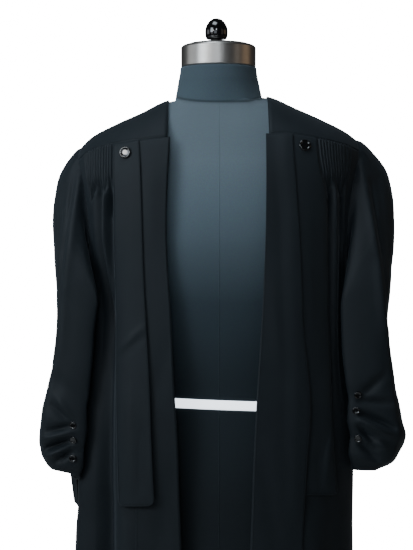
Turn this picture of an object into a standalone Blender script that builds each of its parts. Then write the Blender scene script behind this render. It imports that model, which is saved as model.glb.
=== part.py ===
"""Advocate gown worn open on a limbless dress form.

Metres, +Z up. The front faces -Y and the wearer's right sleeve is at -X, called left here
because that is where a viewer in front sees it. The origin is the middle of the base's underside.
"""

import math
from functools import partial

import bmesh
import bpy
import numpy as np
from mathutils import Vector

for old in list(bpy.data.objects):
    bpy.data.objects.remove(old, do_unlink=True)

# Driving sizes
CLOTH = 0.0012
SEAM_GAP = 0.0005
SEAM_DROP = 0.0011
ARM_GAP = 0.0013
LAYER_GAP = 0.0008
HEM_Z = 0.34
FORM_GAP = 0.0029
FRONT_SEAM_Z = 1.41
BACK_SEAM_Z = 1.345
LEFT = -1
RIGHT = 1
FRONT = -1
BACK = 1
SIDE_NAME = {LEFT: "left", RIGHT: "right"}


def table(names, rows):
    """Named columns from rows of numbers, in rising order of the first column."""
    columns = zip(*sorted(rows))
    return {name: np.array(column, float) for name, column in zip(names.split(), columns)}


def read(source, column, at):
    """A column of a table as a smooth curve along the table's first column."""
    keys = next(iter(source.values()))
    values = source[column]
    steps = np.diff(values) / np.diff(keys)
    slopes = np.concatenate((steps[:1], (steps[:-1] + steps[1:]) / 2, steps[-1:]))
    place = np.clip(at, keys[0], keys[-1])
    row = np.clip(np.searchsorted(keys, place) - 1, 0, len(keys) - 2)
    width = keys[row + 1] - keys[row]
    share = (place - keys[row]) / width
    rest = 1 - share
    start = (1 + 2 * share) * rest ** 2 * values[row] + share * rest ** 2 * width * slopes[row]
    end = (3 - 2 * share) * values[row + 1] - rest * width * slopes[row + 1]
    return start + share ** 2 * end


def ease(at, start, end):
    """A smooth rise from 0 at start to 1 at end."""
    share = np.clip((at - start) / (end - start), 0, 1)
    return share * share * (3 - 2 * share)


# Shoulder line and the two yoke seams, from the left armhole to the right one
SHOULDER = table("x ridge_z front_y front_z back_y back_z", [
    (-0.2065, 1.4015, -0.0455, 1.3820, 0.0560, 1.3500),
    (-0.1920, 1.4160, -0.0650, 1.3917, 0.0800, 1.3500),
    (-0.1540, 1.4370, -0.0900, 1.4018, 0.1070, 1.3490),
    (-0.1150, 1.4545, -0.1005, 1.4070, 0.1180, 1.3470),
    (-0.0722, 1.4748, -0.1045, 1.4112, 0.1235, 1.3455),
    (0.0000, 1.4780, -0.1060, 1.4140, 0.1250, 1.3450),
    (0.0760, 1.4805, -0.1045, 1.4165, 0.1235, 1.3455),
    (0.1200, 1.4620, -0.1010, 1.4145, 0.1175, 1.3470),
    (0.1600, 1.4440, -0.0930, 1.4078, 0.1060, 1.3490),
    (0.1950, 1.4265, -0.0690, 1.4005, 0.0830, 1.3500),
    (0.2125, 1.4140, -0.0460, 1.3950, 0.0590, 1.3500),
])
FRONT_FALL = 2.2
BACK_FALL = 2.6

# Level sections of the hanging body: half widths, depths and how square the corners are
BODY = table("z half_left half_right front back roundness", [
    (1.410, 0.2150, 0.2240, 0.1220, 0.1240, 2.8),
    (1.360, 0.2060, 0.2120, 0.1245, 0.1260, 2.9),
    (1.300, 0.1990, 0.2030, 0.1260, 0.1270, 3.0),
    (1.215, 0.1945, 0.1965, 0.1265, 0.1270, 3.0),
    (1.100, 0.1935, 0.1950, 0.1255, 0.1270, 3.0),
    (0.960, 0.1950, 0.1965, 0.1240, 0.1280, 2.9),
    (0.900, 0.1990, 0.2040, 0.1235, 0.1295, 2.8),
    (0.830, 0.2100, 0.2055, 0.1235, 0.1320, 2.7),
    (0.700, 0.2150, 0.2085, 0.1250, 0.1360, 2.6),
    (0.340, 0.2260, 0.2220, 0.1330, 0.1500, 2.5),
])

# How far from the middle the opening edges, tucked stretch, bands and flaps lie
EDGE = table("z left right", [
    (1.411, 0.0684, 0.0715),
    (1.361, 0.0716, 0.0716),
    (1.260, 0.0731, 0.0702),
    (1.159, 0.0673, 0.0658),
    (1.060, 0.0629, 0.0595),
    (0.970, 0.0572, 0.0545),
    (0.880, 0.0543, 0.0508),
    (0.810, 0.0514, 0.0485),
    (0.340, 0.0400, 0.0380),
])
TUCKED = table("z start_left end_left start_right end_right", [
    (1.410, 0.1530, 0.1850, 0.1480, 0.1840),
    (1.350, 0.1530, 0.1850, 0.1570, 0.1860),
    (1.310, 0.1530, 0.1850, 0.1660, 0.1870),
    (1.000, 0.1530, 0.1850, 0.1690, 0.1870),
    (0.880, 0.1530, 0.1860, 0.1785, 0.1910),
    (0.340, 0.1560, 0.1900, 0.1800, 0.2000),
])
BAND_OUTER = table("z left right", [
    (1.405, 0.1165, 0.1107),
    (1.318, 0.1175, 0.1165),
    (1.246, 0.1180, 0.1208),
    (1.130, 0.1180, 0.1252),
    (1.020, 0.1180, 0.1360),
    (0.937, 0.1180, 0.1310),
    (0.820, 0.1180, 0.1240),
    (0.340, 0.1120, 0.1150),
])
FLAP = table("z inner_left outer_left inner_right outer_right", [
    (1.410, 0.1136, 0.1516, 0.1085, 0.1465),
    (1.363, 0.1107, 0.1516, 0.1140, 0.1527),
    (1.318, 0.1088, 0.1514, 0.1235, 0.1642),
    (1.200, 0.1049, 0.1510, 0.1215, 0.1650),
    (1.043, 0.0962, 0.1490, 0.1190, 0.1652),
    (0.960, 0.0933, 0.1465, 0.1185, 0.1686),
    (0.875, 0.0890, 0.1440, 0.1214, 0.1750),
])
FLAP_END_Z = {LEFT: 0.8752, RIGHT: 0.8900}
FLAP_LIFT = {LEFT: 0.006, RIGHT: 0.003}
FLAP_LIFT_Z = 1.25
FLAP_EXTRA = {"inner": 0.0002, "outer": -0.0004}

# Where the right band rises over its flap, measured inwards from the flap's inner edge
LAP_FOOT = 0.012
LAP_CREST = 0.002
LAP_END_DROP = 0.06

# Tucks under the front yoke seam, and the folds that they release
TUCKS = 8
TUCK_HEIGHT = 0.0011
TUCK_END = 0.044
TUCK_RELEASE = 0.060
FOLD_NAMES = ("side", "top_x", "low_x", "width", "depth", "full_z", "build")
FOLDS = [dict(zip(FOLD_NAMES, row)) for row in [
    (LEFT, 0.1575, 0.1575, 0.0060, -0.0045, 1.31, 0.06),
    (LEFT, 0.1650, 0.1660, 0.0050, 0.0030, 1.31, 0.06),
    (LEFT, 0.1725, 0.1740, 0.0060, -0.0055, 1.31, 0.06),
    (LEFT, 0.1920, 0.1940, 0.0120, 0.0030, 1.28, 0.06),
    (LEFT, 0.1000, 0.0880, 0.0420, 0.0050, 0.45, 0.42),
    (RIGHT, 0.1715, 0.1950, 0.0040, -0.0045, 1.31, 0.06),
    (RIGHT, 0.1785, 0.1990, 0.0045, 0.0030, 1.31, 0.06),
    (RIGHT, 0.1930, 0.1960, 0.0060, -0.0040, 1.30, 0.06),
    (RIGHT, 0.0980, 0.0860, 0.0420, 0.0050, 0.45, 0.42),
]]
FOLD_TOP_Z = 1.31

# Rows down a front, as shares of its drop, and columns across its three stretches
FRONT_ROWS = [0, 0.010, 0.022, 0.034, 0.046, 0.060, 0.080, 0.105, 0.130, 0.150, 0.163,
              0.200, 0.250, 0.310, 0.380, 0.480, 0.600, 0.730, 0.860, 1]
PLAIN_COLUMNS = 7
TUCK_COLUMNS = 2 * TUCKS
SIDE_COLUMNS = 5
SIDE_STRETCH = 0.055

# Armholes: across x, the top and the underarm, with one rounded outline
ARM_X = {LEFT: 0.2065, RIGHT: 0.2125}
ARM_TOP_Z = {LEFT: 1.4010, RIGHT: 1.4135}
UNDERARM_Z = {LEFT: 1.215, RIGHT: 1.218}
ARM_DEPTH = 0.066
ARM_BACKWARD = 0.06
ARM_ROUNDNESS = 2.4
SEAM_BEND = 0.030
ARM_SHARE = 0.78

# Sections of each sleeve: inner and outer point, reach to front and back, and where its front turns
SLEEVE_COLUMNS = "along inner_x inner_z outer_x outer_z front back roundness turn"
SLEEVE = {
    LEFT: table(SLEEVE_COLUMNS, [
        (0.00, 0.1952, 1.2150, 0.2065, 1.4010, 0.062, 0.070, 2.3, 0.0),
        (0.07, 0.2015, 1.2080, 0.2170, 1.3900, 0.072, 0.078, 2.3, -0.2),
        (0.12, 0.2015, 1.1990, 0.2300, 1.3755, 0.078, 0.082, 2.3, -0.5),
        (0.18, 0.2005, 1.1880, 0.2395, 1.3580, 0.082, 0.084, 2.3, -0.6),
        (0.25, 0.1995, 1.1740, 0.2450, 1.3330, 0.085, 0.087, 2.4, -0.6),
        (0.33, 0.1990, 1.1560, 0.2485, 1.3020, 0.087, 0.089, 2.4, -0.5),
        (0.45, 0.1985, 1.1250, 0.2450, 1.2450, 0.088, 0.090, 2.5, -0.1),
        (0.57, 0.1985, 1.0850, 0.2415, 1.1800, 0.088, 0.090, 2.6, 0.3),
        (0.66, 0.1985, 1.0500, 0.2420, 1.1250, 0.088, 0.090, 2.7, 0.4),
        (0.75, 0.1990, 1.0150, 0.2530, 1.0620, 0.088, 0.090, 2.8, 0.3),
        (0.84, 0.2010, 0.9760, 0.2665, 0.9930, 0.088, 0.090, 2.8, 0.2),
        (0.90, 0.2030, 0.9520, 0.2700, 0.9570, 0.088, 0.090, 2.8, 0.1),
        (0.95, 0.2060, 0.9280, 0.2660, 0.9380, 0.085, 0.090, 2.7, 0.0),
        (1.00, 0.2105, 0.8960, 0.2520, 0.9215, 0.078, 0.088, 2.6, 0.0),
    ]),
    RIGHT: table(SLEEVE_COLUMNS, [
        (0.00, 0.1972, 1.2180, 0.2125, 1.4135, 0.062, 0.070, 2.3, 0.0),
        (0.07, 0.2035, 1.2110, 0.2260, 1.4065, 0.072, 0.078, 2.3, -0.2),
        (0.12, 0.2035, 1.2020, 0.2420, 1.3900, 0.078, 0.082, 2.3, -0.5),
        (0.18, 0.2025, 1.1910, 0.2560, 1.3720, 0.082, 0.084, 2.3, -0.6),
        (0.25, 0.2010, 1.1770, 0.2640, 1.3500, 0.085, 0.087, 2.4, -0.6),
        (0.33, 0.2000, 1.1590, 0.2695, 1.3150, 0.087, 0.089, 2.4, -0.5),
        (0.45, 0.1995, 1.1280, 0.2680, 1.2550, 0.088, 0.090, 2.5, -0.1),
        (0.57, 0.1995, 1.0880, 0.2590, 1.1880, 0.088, 0.090, 2.6, 0.3),
        (0.66, 0.1995, 1.0530, 0.2550, 1.1300, 0.088, 0.090, 2.7, 0.4),
        (0.75, 0.2000, 1.0180, 0.2630, 1.0700, 0.088, 0.090, 2.8, 0.3),
        (0.84, 0.2020, 0.9800, 0.2760, 0.9980, 0.088, 0.090, 2.8, 0.2),
        (0.90, 0.2060, 0.9560, 0.2835, 0.9640, 0.088, 0.090, 2.8, 0.1),
        (0.95, 0.2085, 0.9350, 0.2720, 0.9350, 0.085, 0.090, 2.7, 0.0),
        (1.00, 0.2095, 0.9180, 0.2400, 0.9150, 0.078, 0.088, 2.6, 0.0),
    ]),
}
SLEEVE_RINGS = [0, 0.03, 0.07, 0.12, 0.18, 0.25, 0.33, 0.41, 0.49, 0.57, 0.64,
                0.70, 0.75, 0.80, 0.84, 0.88, 0.92, 0.96, 1]
SLEEVE_AROUND = 20
SLEEVE_TAIL = {LEFT: 0.046, RIGHT: 0.010}
HEAD_SHARE = 0.16
HEAD_STEP = 0.10

# Large creases that run out from the buttons across each sleeve's front, at the elbow
RUCHES = [
    {"side": LEFT, "along": 0.79, "slope": -0.030, "width": 0.020, "depth": -0.0035},
    {"side": LEFT, "along": 0.85, "slope": -0.020, "width": 0.020, "depth": 0.0030},
    {"side": LEFT, "along": 0.90, "slope": 0.010, "width": 0.020, "depth": -0.0045},
    {"side": LEFT, "along": 0.955, "slope": 0.020, "width": 0.020, "depth": 0.0030},
    {"side": RIGHT, "along": 0.76, "slope": 0.015, "width": 0.020, "depth": -0.0040},
    {"side": RIGHT, "along": 0.81, "slope": 0.040, "width": 0.020, "depth": 0.0035},
    {"side": RIGHT, "along": 0.86, "slope": 0.040, "width": 0.020, "depth": -0.0045},
    {"side": RIGHT, "along": 0.92, "slope": 0.030, "width": 0.020, "depth": 0.0035},
]

# Gathers of the back, set close under the yoke and opening towards the hem
PLEATS = 12
PLEAT_COLUMNS = 48
PLEAT_DEPTH = table("drop depth", [(0, 0.0015), (0.10, 0.0045), (0.30, 0.0065), (1.01, 0.0095)])
BACK_ROWS = [0, 0.03, 0.07, 0.11, 0.137, 0.19, 0.27, 0.38, 0.52, 0.68, 0.84, 1]

# Yoke columns, rows from the front seam over the shoulder to the back seam, and the neckline
YOKE_COLUMNS = [-0.2065, -0.199, -0.188, -0.172, -0.148, -0.122, -0.097, -0.0722, -0.061, -0.045,
                -0.015, 0.015, 0.045, 0.063, 0.076, 0.100, 0.125, 0.150, 0.173, 0.191, 0.204, 0.2125]
YOKE_ROWS = [-1, -0.85, -0.68, -0.50, -0.30, -0.10, 0.10, 0.28, 0.45, 0.60, 0.74, 0.88, 1]
NECK_ROW = 0.28
NECK_DIP = 0.27
NECK_HALF = 0.074

# Buttons
FLAP_BUTTON_RADIUS = 0.00875
FLAP_BUTTON_THICK = 0.0032
FLAP_BUTTON_PLACE = {LEFT: (0.1318, 1.3874), RIGHT: (0.1281, 1.3975)}
SLEEVE_BUTTON_RADIUS = 0.0056
SLEEVE_BUTTON_THICK = 0.0024
SLEEVE_BUTTON_PLACES = {
    LEFT: [(0.2125, 0.988), (0.2110, 0.9675), (0.2130, 0.9400)],
    RIGHT: [(0.2080, 1.0334), (0.2060, 1.0099), (0.2095, 0.9688)],
}

# Dress form: level sections under the shoulders, then rings that follow the yoke up to the neck
TORSO = table("z half front back roundness", [
    (0.750, 0.1600, 0.0960, 0.1040, 2.2),
    (0.757, 0.1660, 0.1010, 0.1090, 2.2),
    (0.830, 0.1720, 0.1040, 0.1130, 2.2),
    (0.920, 0.1640, 0.0990, 0.1070, 2.2),
    (0.992, 0.1480, 0.0925, 0.0930, 2.2),
    (1.045, 0.1460, 0.0930, 0.0900, 2.2),
    (1.120, 0.1580, 0.1030, 0.0960, 2.2),
    (1.200, 0.1720, 0.1130, 0.1040, 2.3),
    (1.270, 0.1800, 0.1165, 0.1090, 2.3),
    (1.335, 0.1860, 0.1110, 0.1110, 2.3),
])
SHOULDER_RINGS = [1, 0.85, 0.65, 0.45, 0.25, 0.10, 0]
SHOULDER_OUTLINE = {"half": 0.188, "front": 0.100, "back": 0.112, "roundness": 2.4}
NECK_BASE = {"half": 0.0665, "front": 0.060, "back": 0.058, "roundness": 2.0}
NECK_RINGS = [(1.503, 0.0600), (1.5235, 0.0572)]
NECK_FRONT_RISE = 0.010
FORM_X = 0.003
TORSO_AROUND = 28
TAPE_BAND = (0.992, 1.045)
TAPE_Z = 1.0188
TAPE_WIDTH = 0.0139
TAPE_DROP = 0.040
TAPE_THICK = 0.0008
TURNED_STEPS = 28
RING_RADIUS = 0.057
RING_TOP_Z = 1.556
RING_DOME = 0.0055
SEAT_GAP = 0.0003
KNOB_RADIUS = 0.0175
KNOB_WIDEST_Z = 1.5785
KNOB_TOP_Z = 1.600
POLE_RADIUS = 0.016
BASE_RADIUS = 0.190
BASE_THICK = 0.020

parts = bpy.data.collections.new("advocate_gown")
bpy.context.scene.collection.children.link(parts)


# Materials
def material(name, colour, roughness, metallic=0.0):
    """A Principled material of one colour."""
    made = bpy.data.materials.new(name)
    made.use_nodes = True
    shader = made.node_tree.nodes["Principled BSDF"]
    shader.inputs["Base Color"].default_value = (*colour, 1)
    shader.inputs["Roughness"].default_value = roughness
    shader.inputs["Metallic"].default_value = metallic
    return made


def add_object(name, mesh, colour, roughness, metallic=0.0):
    """Links a mesh as a named part with its own material."""
    made = bpy.data.objects.new(name, mesh)
    mesh.materials.append(material(name, colour, roughness, metallic))
    parts.objects.link(made)
    return made


SUITING = (0.012, 0.013, 0.015)
JERSEY = (0.045, 0.058, 0.066)
RESIN = (0.008, 0.009, 0.010)


# Cloth surfaces
def outward(points_at, across, down):
    """Unit normals of a hung surface, pointing away from the body's middle line."""
    step = 0.002
    along = points_at(across + step, down) - points_at(across - step, down)
    low = np.clip(down + step, 0, 1)
    high = np.clip(down - step, 0, 1)
    normal = np.cross(along, points_at(across, low) - points_at(across, high))
    normal /= np.linalg.norm(normal, axis=-1, keepdims=True)
    middle = points_at(across, down)
    facing = normal[..., 0] * middle[..., 0] + normal[..., 1] * middle[..., 1]
    return normal * np.where(facing < 0, -1.0, 1.0)[..., None]


def section(side, face, z):
    """Half width, depth and roundness of the body at a height."""
    half = np.where(side < 0, read(BODY, "half_left", z), read(BODY, "half_right", z))
    depth = read(BODY, "front" if face == FRONT else "back", z)
    return half, depth, read(BODY, "roundness", z)


# Even steps along a middling section, which serve at every height
EVEN_ANGLES = np.linspace(0, math.pi / 2, 721)
MIDDLING_X = 0.2 * np.sin(EVEN_ANGLES) ** (2 / 3)
MIDDLING_Y = 0.127 * np.cos(EVEN_ANGLES) ** (2 / 3)
EVEN_STEPS = np.hypot(np.diff(MIDDLING_X), np.diff(MIDDLING_Y))
EVEN_SHARES = np.concatenate(([0], np.cumsum(EVEN_STEPS))) / np.sum(EVEN_STEPS)


def even_angle(share):
    """The section's angle at an even share of its length, from the middle to the side."""
    return np.interp(share, EVEN_SHARES, EVEN_ANGLES)


def even_share(angle):
    """The share of the section's length at an angle."""
    return np.interp(angle, EVEN_ANGLES, EVEN_SHARES)


def arm_reach(side, z):
    """Half the armhole's opening from front to back at a height."""
    top = np.where(side < 0, ARM_TOP_Z[LEFT], ARM_TOP_Z[RIGHT])
    under = np.where(side < 0, UNDERARM_Z[LEFT], UNDERARM_Z[RIGHT])
    share = np.clip(np.abs(2 * z - top - under) / (top - under), 0, 1)
    return ARM_DEPTH * (1 - share ** ARM_ROUNDNESS) ** (1 / ARM_ROUNDNESS)


def side_angle(side, face, z):
    """The angle of the section where the panel ends, at the armhole or the side seam."""
    half, depth, roundness = section(side, face, z)
    reach = np.maximum(arm_reach(side, z) * (1 + face * ARM_BACKWARD), SEAM_GAP / 2)
    return np.arccos(np.clip(reach / depth, 0, 1) ** (roundness / 2))


def zone_x(side, s, z):
    """Distance from the middle for the plain stretch (s 0 to 1) and the tucked one (1 to 2)."""
    name = SIDE_NAME[side]
    edge = read(EDGE, name, z)
    start = read(TUCKED, "start_" + name, z)
    end = read(TUCKED, "end_" + name, z)
    return np.where(s < 1, edge + (start - edge) * s, start + (end - start) * (np.minimum(s, 2) - 1))


def front_base(side, s, t):
    """A front without its tucks and folds: s across from the opening, t down to the hem."""
    top_x = zone_x(side, s, FRONT_SEAM_Z)
    top_x = np.where(s > 2, top_x + (ARM_X[side] - top_x) * (s - 2), top_x)
    seam_y = read(SHOULDER, "front_y", side * top_x)
    seam_z = read(SHOULDER, "front_z", side * top_x)
    z = seam_z - SEAM_DROP - (seam_z - HEM_Z) * t
    half, depth, roundness = section(side, FRONT, z)
    angle = np.arcsin(np.clip(zone_x(side, s, z) / half, 0, 1) ** (roundness / 2))
    last = even_share(side_angle(side, FRONT, z))
    beyond = even_share(angle) + (last - even_share(angle)) * (s - 2)
    angle = np.where(s > 2, even_angle(beyond), angle)
    low_x = half * np.sin(angle) ** (2 / roundness)
    low_y = -depth * np.cos(angle) ** (2 / roundness)
    hung = 1 - np.exp(-(seam_z - z) / SEAM_BEND)
    x = top_x + (low_x - top_x) * hung
    y = seam_y + (low_y - seam_y) * hung
    return np.stack((side * x, y, z), axis=-1)


def front_relief(side, s, t):
    """How far the tucks and folds stand out from a front."""
    base = front_base(side, s, t)
    z = base[..., 2]
    drop = t * (FRONT_SEAM_Z - HEM_Z)
    place = zone_x(side, s, z) + SIDE_STRETCH * np.maximum(s - 2, 0)
    inside = (s > 1) & (s < 2)
    wave = 0.5 - 0.5 * np.cos(2 * math.pi * TUCKS * (s - 1))
    relief = np.where(inside, TUCK_HEIGHT * wave * (1 - ease(drop, TUCK_END, TUCK_RELEASE)), 0)
    for fold in FOLDS:
        if fold["side"] != side:
            continue
        fall = ease(z, FOLD_TOP_Z, HEM_Z)
        middle = fold["top_x"] + (fold["low_x"] - fold["top_x"]) * fall
        grown = 1 - ease(z, fold["full_z"], fold["full_z"] + fold["build"])
        relief = relief + fold["depth"] * grown * np.exp(-((place - middle) / fold["width"]) ** 2)
    return relief


def front_point(side, s, t, out=0.0):
    """A point of a front's outer face, moved out by a distance."""
    normal = outward(partial(front_base, side), s, t)
    return front_base(side, s, t) + normal * (front_relief(side, s, t) + out)[..., None]


def front_at(side, x, t, out):
    """The front's point at a distance from the middle, moved out."""
    s = np.full(np.shape(x), 0.5)
    for _ in range(4):
        z = front_base(side, s, t)[..., 2]
        start = zone_x(side, np.ones_like(s), z)
        edge = zone_x(side, np.zeros_like(s), z)
        s = (x - edge) / (start - edge)
    return front_point(side, s, t, out)


def front_height(side, t):
    """The height of a front's row, in its plain stretch."""
    return front_base(side, np.full(np.shape(t), 0.5), t)[..., 2]


def back_base(s, t):
    """The back without its gathers: s from -1 at the left to 1 at the right."""
    side = np.where(s < 0, LEFT, RIGHT)
    top_x = np.where(s < 0, ARM_X[LEFT], ARM_X[RIGHT]) * s
    seam_y = read(SHOULDER, "back_y", top_x)
    seam_z = read(SHOULDER, "back_z", top_x)
    z = seam_z - SEAM_DROP - (seam_z - HEM_Z) * t
    half, depth, roundness = section(side, BACK, z)
    last = even_share(side_angle(side, BACK, z))
    angle = even_angle(np.abs(s) * ARM_SHARE + (last - ARM_SHARE) * s ** 4)
    low_x = side * half * np.sin(angle) ** (2 / roundness)
    low_y = depth * np.cos(angle) ** (2 / roundness)
    hung = 1 - np.exp(-(seam_z - z) / SEAM_BEND)
    x = top_x + (low_x - top_x) * hung
    y = seam_y + (low_y - seam_y) * hung
    return np.stack((x, y, z), axis=-1)


def back_point(s, t):
    """A point of the back's outer face, with its gathers."""
    drop = t * (BACK_SEAM_Z - HEM_Z)
    fade = 1 - ease(np.abs(s), 0.72, 0.95)
    relief = read(PLEAT_DEPTH, "depth", drop) * fade * np.cos(math.pi * PLEATS * s)
    return back_base(s, t) + outward(back_base, s, t) * relief[..., None]


def yoke_point(x, across):
    """A point of the yoke: across runs from the front seam at -1 over the shoulder to 1."""
    seam_y = np.where(across < 0, -read(SHOULDER, "front_y", x), read(SHOULDER, "back_y", x))
    seam_z = np.where(across < 0, read(SHOULDER, "front_z", x), read(SHOULDER, "back_z", x))
    ridge = read(SHOULDER, "ridge_z", x)
    power = np.where(across < 0, FRONT_FALL, BACK_FALL)
    z = ridge - (ridge - seam_z) * np.abs(across) ** power
    return np.stack((x + 0 * across, seam_y * across, z), axis=-1)


def edge_line(points_at, rows):
    """Points along the straight steps between a panel's rows, at its edge."""
    corners = points_at(np.array(rows, float))
    steps = np.linspace(0, len(rows) - 1, 12 * len(rows))
    return np.stack([np.interp(steps, np.arange(len(rows)), corners[:, i]) for i in range(3)], axis=-1)


def armhole(side):
    """The armhole's edge, as angles round its middle and the points there."""
    front = edge_line(lambda t: front_point(side, 3.0 + 0 * t, t), FRONT_ROWS)
    back = edge_line(lambda t: back_point(side + 0 * t, t), BACK_ROWS)
    top = edge_line(lambda t: yoke_point(side * ARM_X[side] + 0 * t, t), YOKE_ROWS)
    edge = np.concatenate((top, front, back))
    middle = (ARM_TOP_Z[side] + UNDERARM_Z[side]) / 2
    edge = edge[edge[:, 2] > UNDERARM_Z[side] - 0.001]
    angle = np.arctan2(-edge[:, 1], edge[:, 2] - middle) % (2 * math.pi)
    order = np.argsort(angle)
    return angle[order], edge[order]


ARMHOLES = {side: armhole(side) for side in (LEFT, RIGHT)}


def sleeve_base(side, u, v):
    """A sleeve without its creases: u round it from the outer side over the front, v down it."""
    rows = SLEEVE[side]
    inner_x = read(rows, "inner_x", v)
    inner_z = read(rows, "inner_z", v)
    half_x = (read(rows, "outer_x", v) - inner_x) / 2
    half_z = (read(rows, "outer_z", v) - inner_z) / 2
    power = 2 / read(rows, "roundness", v)
    out = np.sign(np.cos(u)) * np.abs(np.cos(u)) ** power
    fore = np.sign(np.sin(u)) * np.abs(np.sin(u)) ** power
    turned = out + read(rows, "turn", v) * np.maximum(fore, 0) ** 2
    x = inner_x + half_x * (1 + turned)
    z = inner_z + half_z * (1 + turned)
    y = np.where(fore > 0, -read(rows, "front", v) * fore, -read(rows, "back", v) * fore)
    z = z - SLEEVE_TAIL[side] * np.maximum(-fore, 0) ** 2 * ease(v, 0.8, 1)
    angles, edge = ARMHOLES[side]
    around = np.mod(u, 2 * math.pi)
    held = 1 - ease(v, 0, HEAD_SHARE)
    rim_x = np.interp(around, angles, np.abs(edge[:, 0]), period=2 * math.pi) + ARM_GAP
    rim_y = np.interp(around, angles, edge[:, 1], period=2 * math.pi)
    rim_z = np.interp(around, angles, edge[:, 2], period=2 * math.pi)
    x = x + (rim_x + HEAD_STEP * v - x) * held
    y = y + (rim_y - y) * held
    z = z + (rim_z - z) * held
    return np.stack((side * x, y, z), axis=-1)


def sleeve_point(side, u, v, out=0.0):
    """A point of a sleeve's outer face, with its creases, moved out."""
    step = 0.004
    along = sleeve_base(side, u + step, v) - sleeve_base(side, u - step, v)
    down = sleeve_base(side, u, np.clip(v + step, 0, 1)) - sleeve_base(side, u, np.clip(v - step, 0, 1))
    normal = np.cross(along, down) * side
    normal /= np.linalg.norm(normal, axis=-1, keepdims=True)
    relief = np.zeros(np.shape(u + v))
    front = np.maximum(np.sin(u), 0)
    for ruche in RUCHES:
        if ruche["side"] == side:
            middle = ruche["along"] + ruche["slope"] * (2.3 - u)
            relief = relief + ruche["depth"] * front * np.exp(-((v - middle) / ruche["width"]) ** 2)
    return sleeve_base(side, u, v) + normal * (relief + out)[..., None]


# Dress form surfaces
def form_ring(shape, angle):
    """Level outline of the form: angle 0 is its front."""
    power = 2 / shape["roundness"]
    side = np.sign(np.sin(angle)) * np.abs(np.sin(angle)) ** power
    fore = np.sign(np.cos(angle)) * np.abs(np.cos(angle)) ** power
    depth = np.where(fore > 0, shape["front"], shape["back"])
    return FORM_X + shape["half"] * side, -depth * fore


def torso_ring(angle, z):
    """Points of the torso at a height below the shoulders."""
    shape = {name: read(TORSO, name, z) for name in ("half", "front", "back", "roundness")}
    x, y = form_ring(shape, angle)
    return np.stack((x, y, z + 0 * x), axis=-1)


def shoulder_height(x, y):
    """Height of the yoke's outer face over a point, carried on over the neck opening."""
    seam = np.where(y < 0, -read(SHOULDER, "front_y", x), read(SHOULDER, "back_y", x))
    across = y / seam
    return yoke_point(x, across)[..., 2]


def shoulder_ring(angle, share):
    """Points of the form under the yoke: share 0 at the neck's base, 1 at the shoulders' edge."""
    shape = {}
    for name, inner in NECK_BASE.items():
        shape[name] = inner + (SHOULDER_OUTLINE[name] - inner) * share
    x, y = form_ring(shape, angle)
    step = 0.001
    slope_x = (shoulder_height(x + step, y) - shoulder_height(x - step, y)) / (2 * step)
    slope_y = (shoulder_height(x, y + step) - shoulder_height(x, y - step)) / (2 * step)
    normal = np.stack((-slope_x, -slope_y, np.ones_like(x)), axis=-1)
    normal /= np.linalg.norm(normal, axis=-1, keepdims=True)
    point = np.stack((x, y, shoulder_height(x, y)), axis=-1) - normal * FORM_GAP
    open_front = np.maximum(np.cos(angle), 0) ** 2 * (1 - ease(np.abs(x), 0.040, 0.062))
    point[..., 2] += NECK_FRONT_RISE * (1 - share) ** 3 * open_front
    return point


# Mesh builders
def carried_grid(name, across, down, place, turn_over=False, cut=None, weld=False):
    """A grid primitive whose points are carried to a surface; cut drops faces by their middle."""
    grid = bmesh.new()
    bmesh.ops.create_grid(grid, x_segments=len(across) - 1, y_segments=len(down) - 1, size=0.5)
    column = [round((point.co.x + 0.5) * (len(across) - 1)) for point in grid.verts]
    row = [round((point.co.y + 0.5) * (len(down) - 1)) for point in grid.verts]
    first = np.array(across, float)[column]
    second = np.array(down, float)[row]
    if cut:
        dropped = []
        for face in grid.faces:
            indices = [point.index for point in face.verts]
            if cut(np.mean(first[indices]), np.mean(second[indices])):
                dropped.append(face)
    for point, place_to in zip(grid.verts, place(first, second)):
        point.co = Vector(place_to)
    if cut:
        bmesh.ops.delete(grid, geom=dropped, context="FACES")
    if weld:
        bmesh.ops.remove_doubles(grid, verts=grid.verts, dist=0.00001)
    if turn_over:
        bmesh.ops.reverse_faces(grid, faces=grid.faces)
    mesh = bpy.data.meshes.new(name)
    grid.to_mesh(mesh)
    grid.free()
    mesh.shade_smooth()
    return mesh


def add_cloth(name, mesh, thick=CLOTH, colour=SUITING, roughness=0.75):
    """A sheet given its wall, inwards from its outer face."""
    made = add_object(name, mesh, colour, roughness)
    wall = made.modifiers.new("wall", "SOLIDIFY")
    wall.thickness = thick
    wall.offset = -1
    return made


def add_turned(name, profile, steps, colour, roughness, metallic=0.0):
    """A turned piece from (radius, height) points that run from its top down its outer side."""
    mesh = bpy.data.meshes.new(name)
    points = [(radius, 0, height) for radius, height in profile]
    mesh.from_pydata(points, [(i, i + 1) for i in range(len(points) - 1)], [])
    made = add_object(name, mesh, colour, roughness, metallic)
    turning = made.modifiers.new("turning", "SCREW")
    turning.steps = steps
    turning.render_steps = steps
    turning.use_merge_vertices = True
    turning.merge_threshold = 0.00001
    return made


def add_button(name, radius, thick, steps, place, normal):
    """A button with a raised rim and a dished middle, its underside on the cloth."""
    profile = [
        (0, thick * 0.72),
        (radius * 0.62, thick * 0.72),
        (radius * 0.80, thick),
        (radius * 0.93, thick * 0.92),
        (radius, thick * 0.55),
        (radius * 0.86, 0),
        (0, 0),
    ]
    made = add_turned(name, profile, steps, RESIN, 0.15)
    made.location = place
    made.rotation_euler = Vector(normal).to_track_quat("Z", "Y").to_euler()
    return made


# Yoke
def yoke_place(x, row):
    """Yoke points, with the rows behind the neck squeezed to make room for the neckline."""
    dip = NECK_ROW + NECK_DIP * np.clip(1 - (x / NECK_HALF) ** 2, 0, 1)
    squeezed = dip + (row - NECK_ROW) / (1 - NECK_ROW) * (1 - dip)
    return yoke_point(x, np.where(row >= NECK_ROW, squeezed, row))


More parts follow.
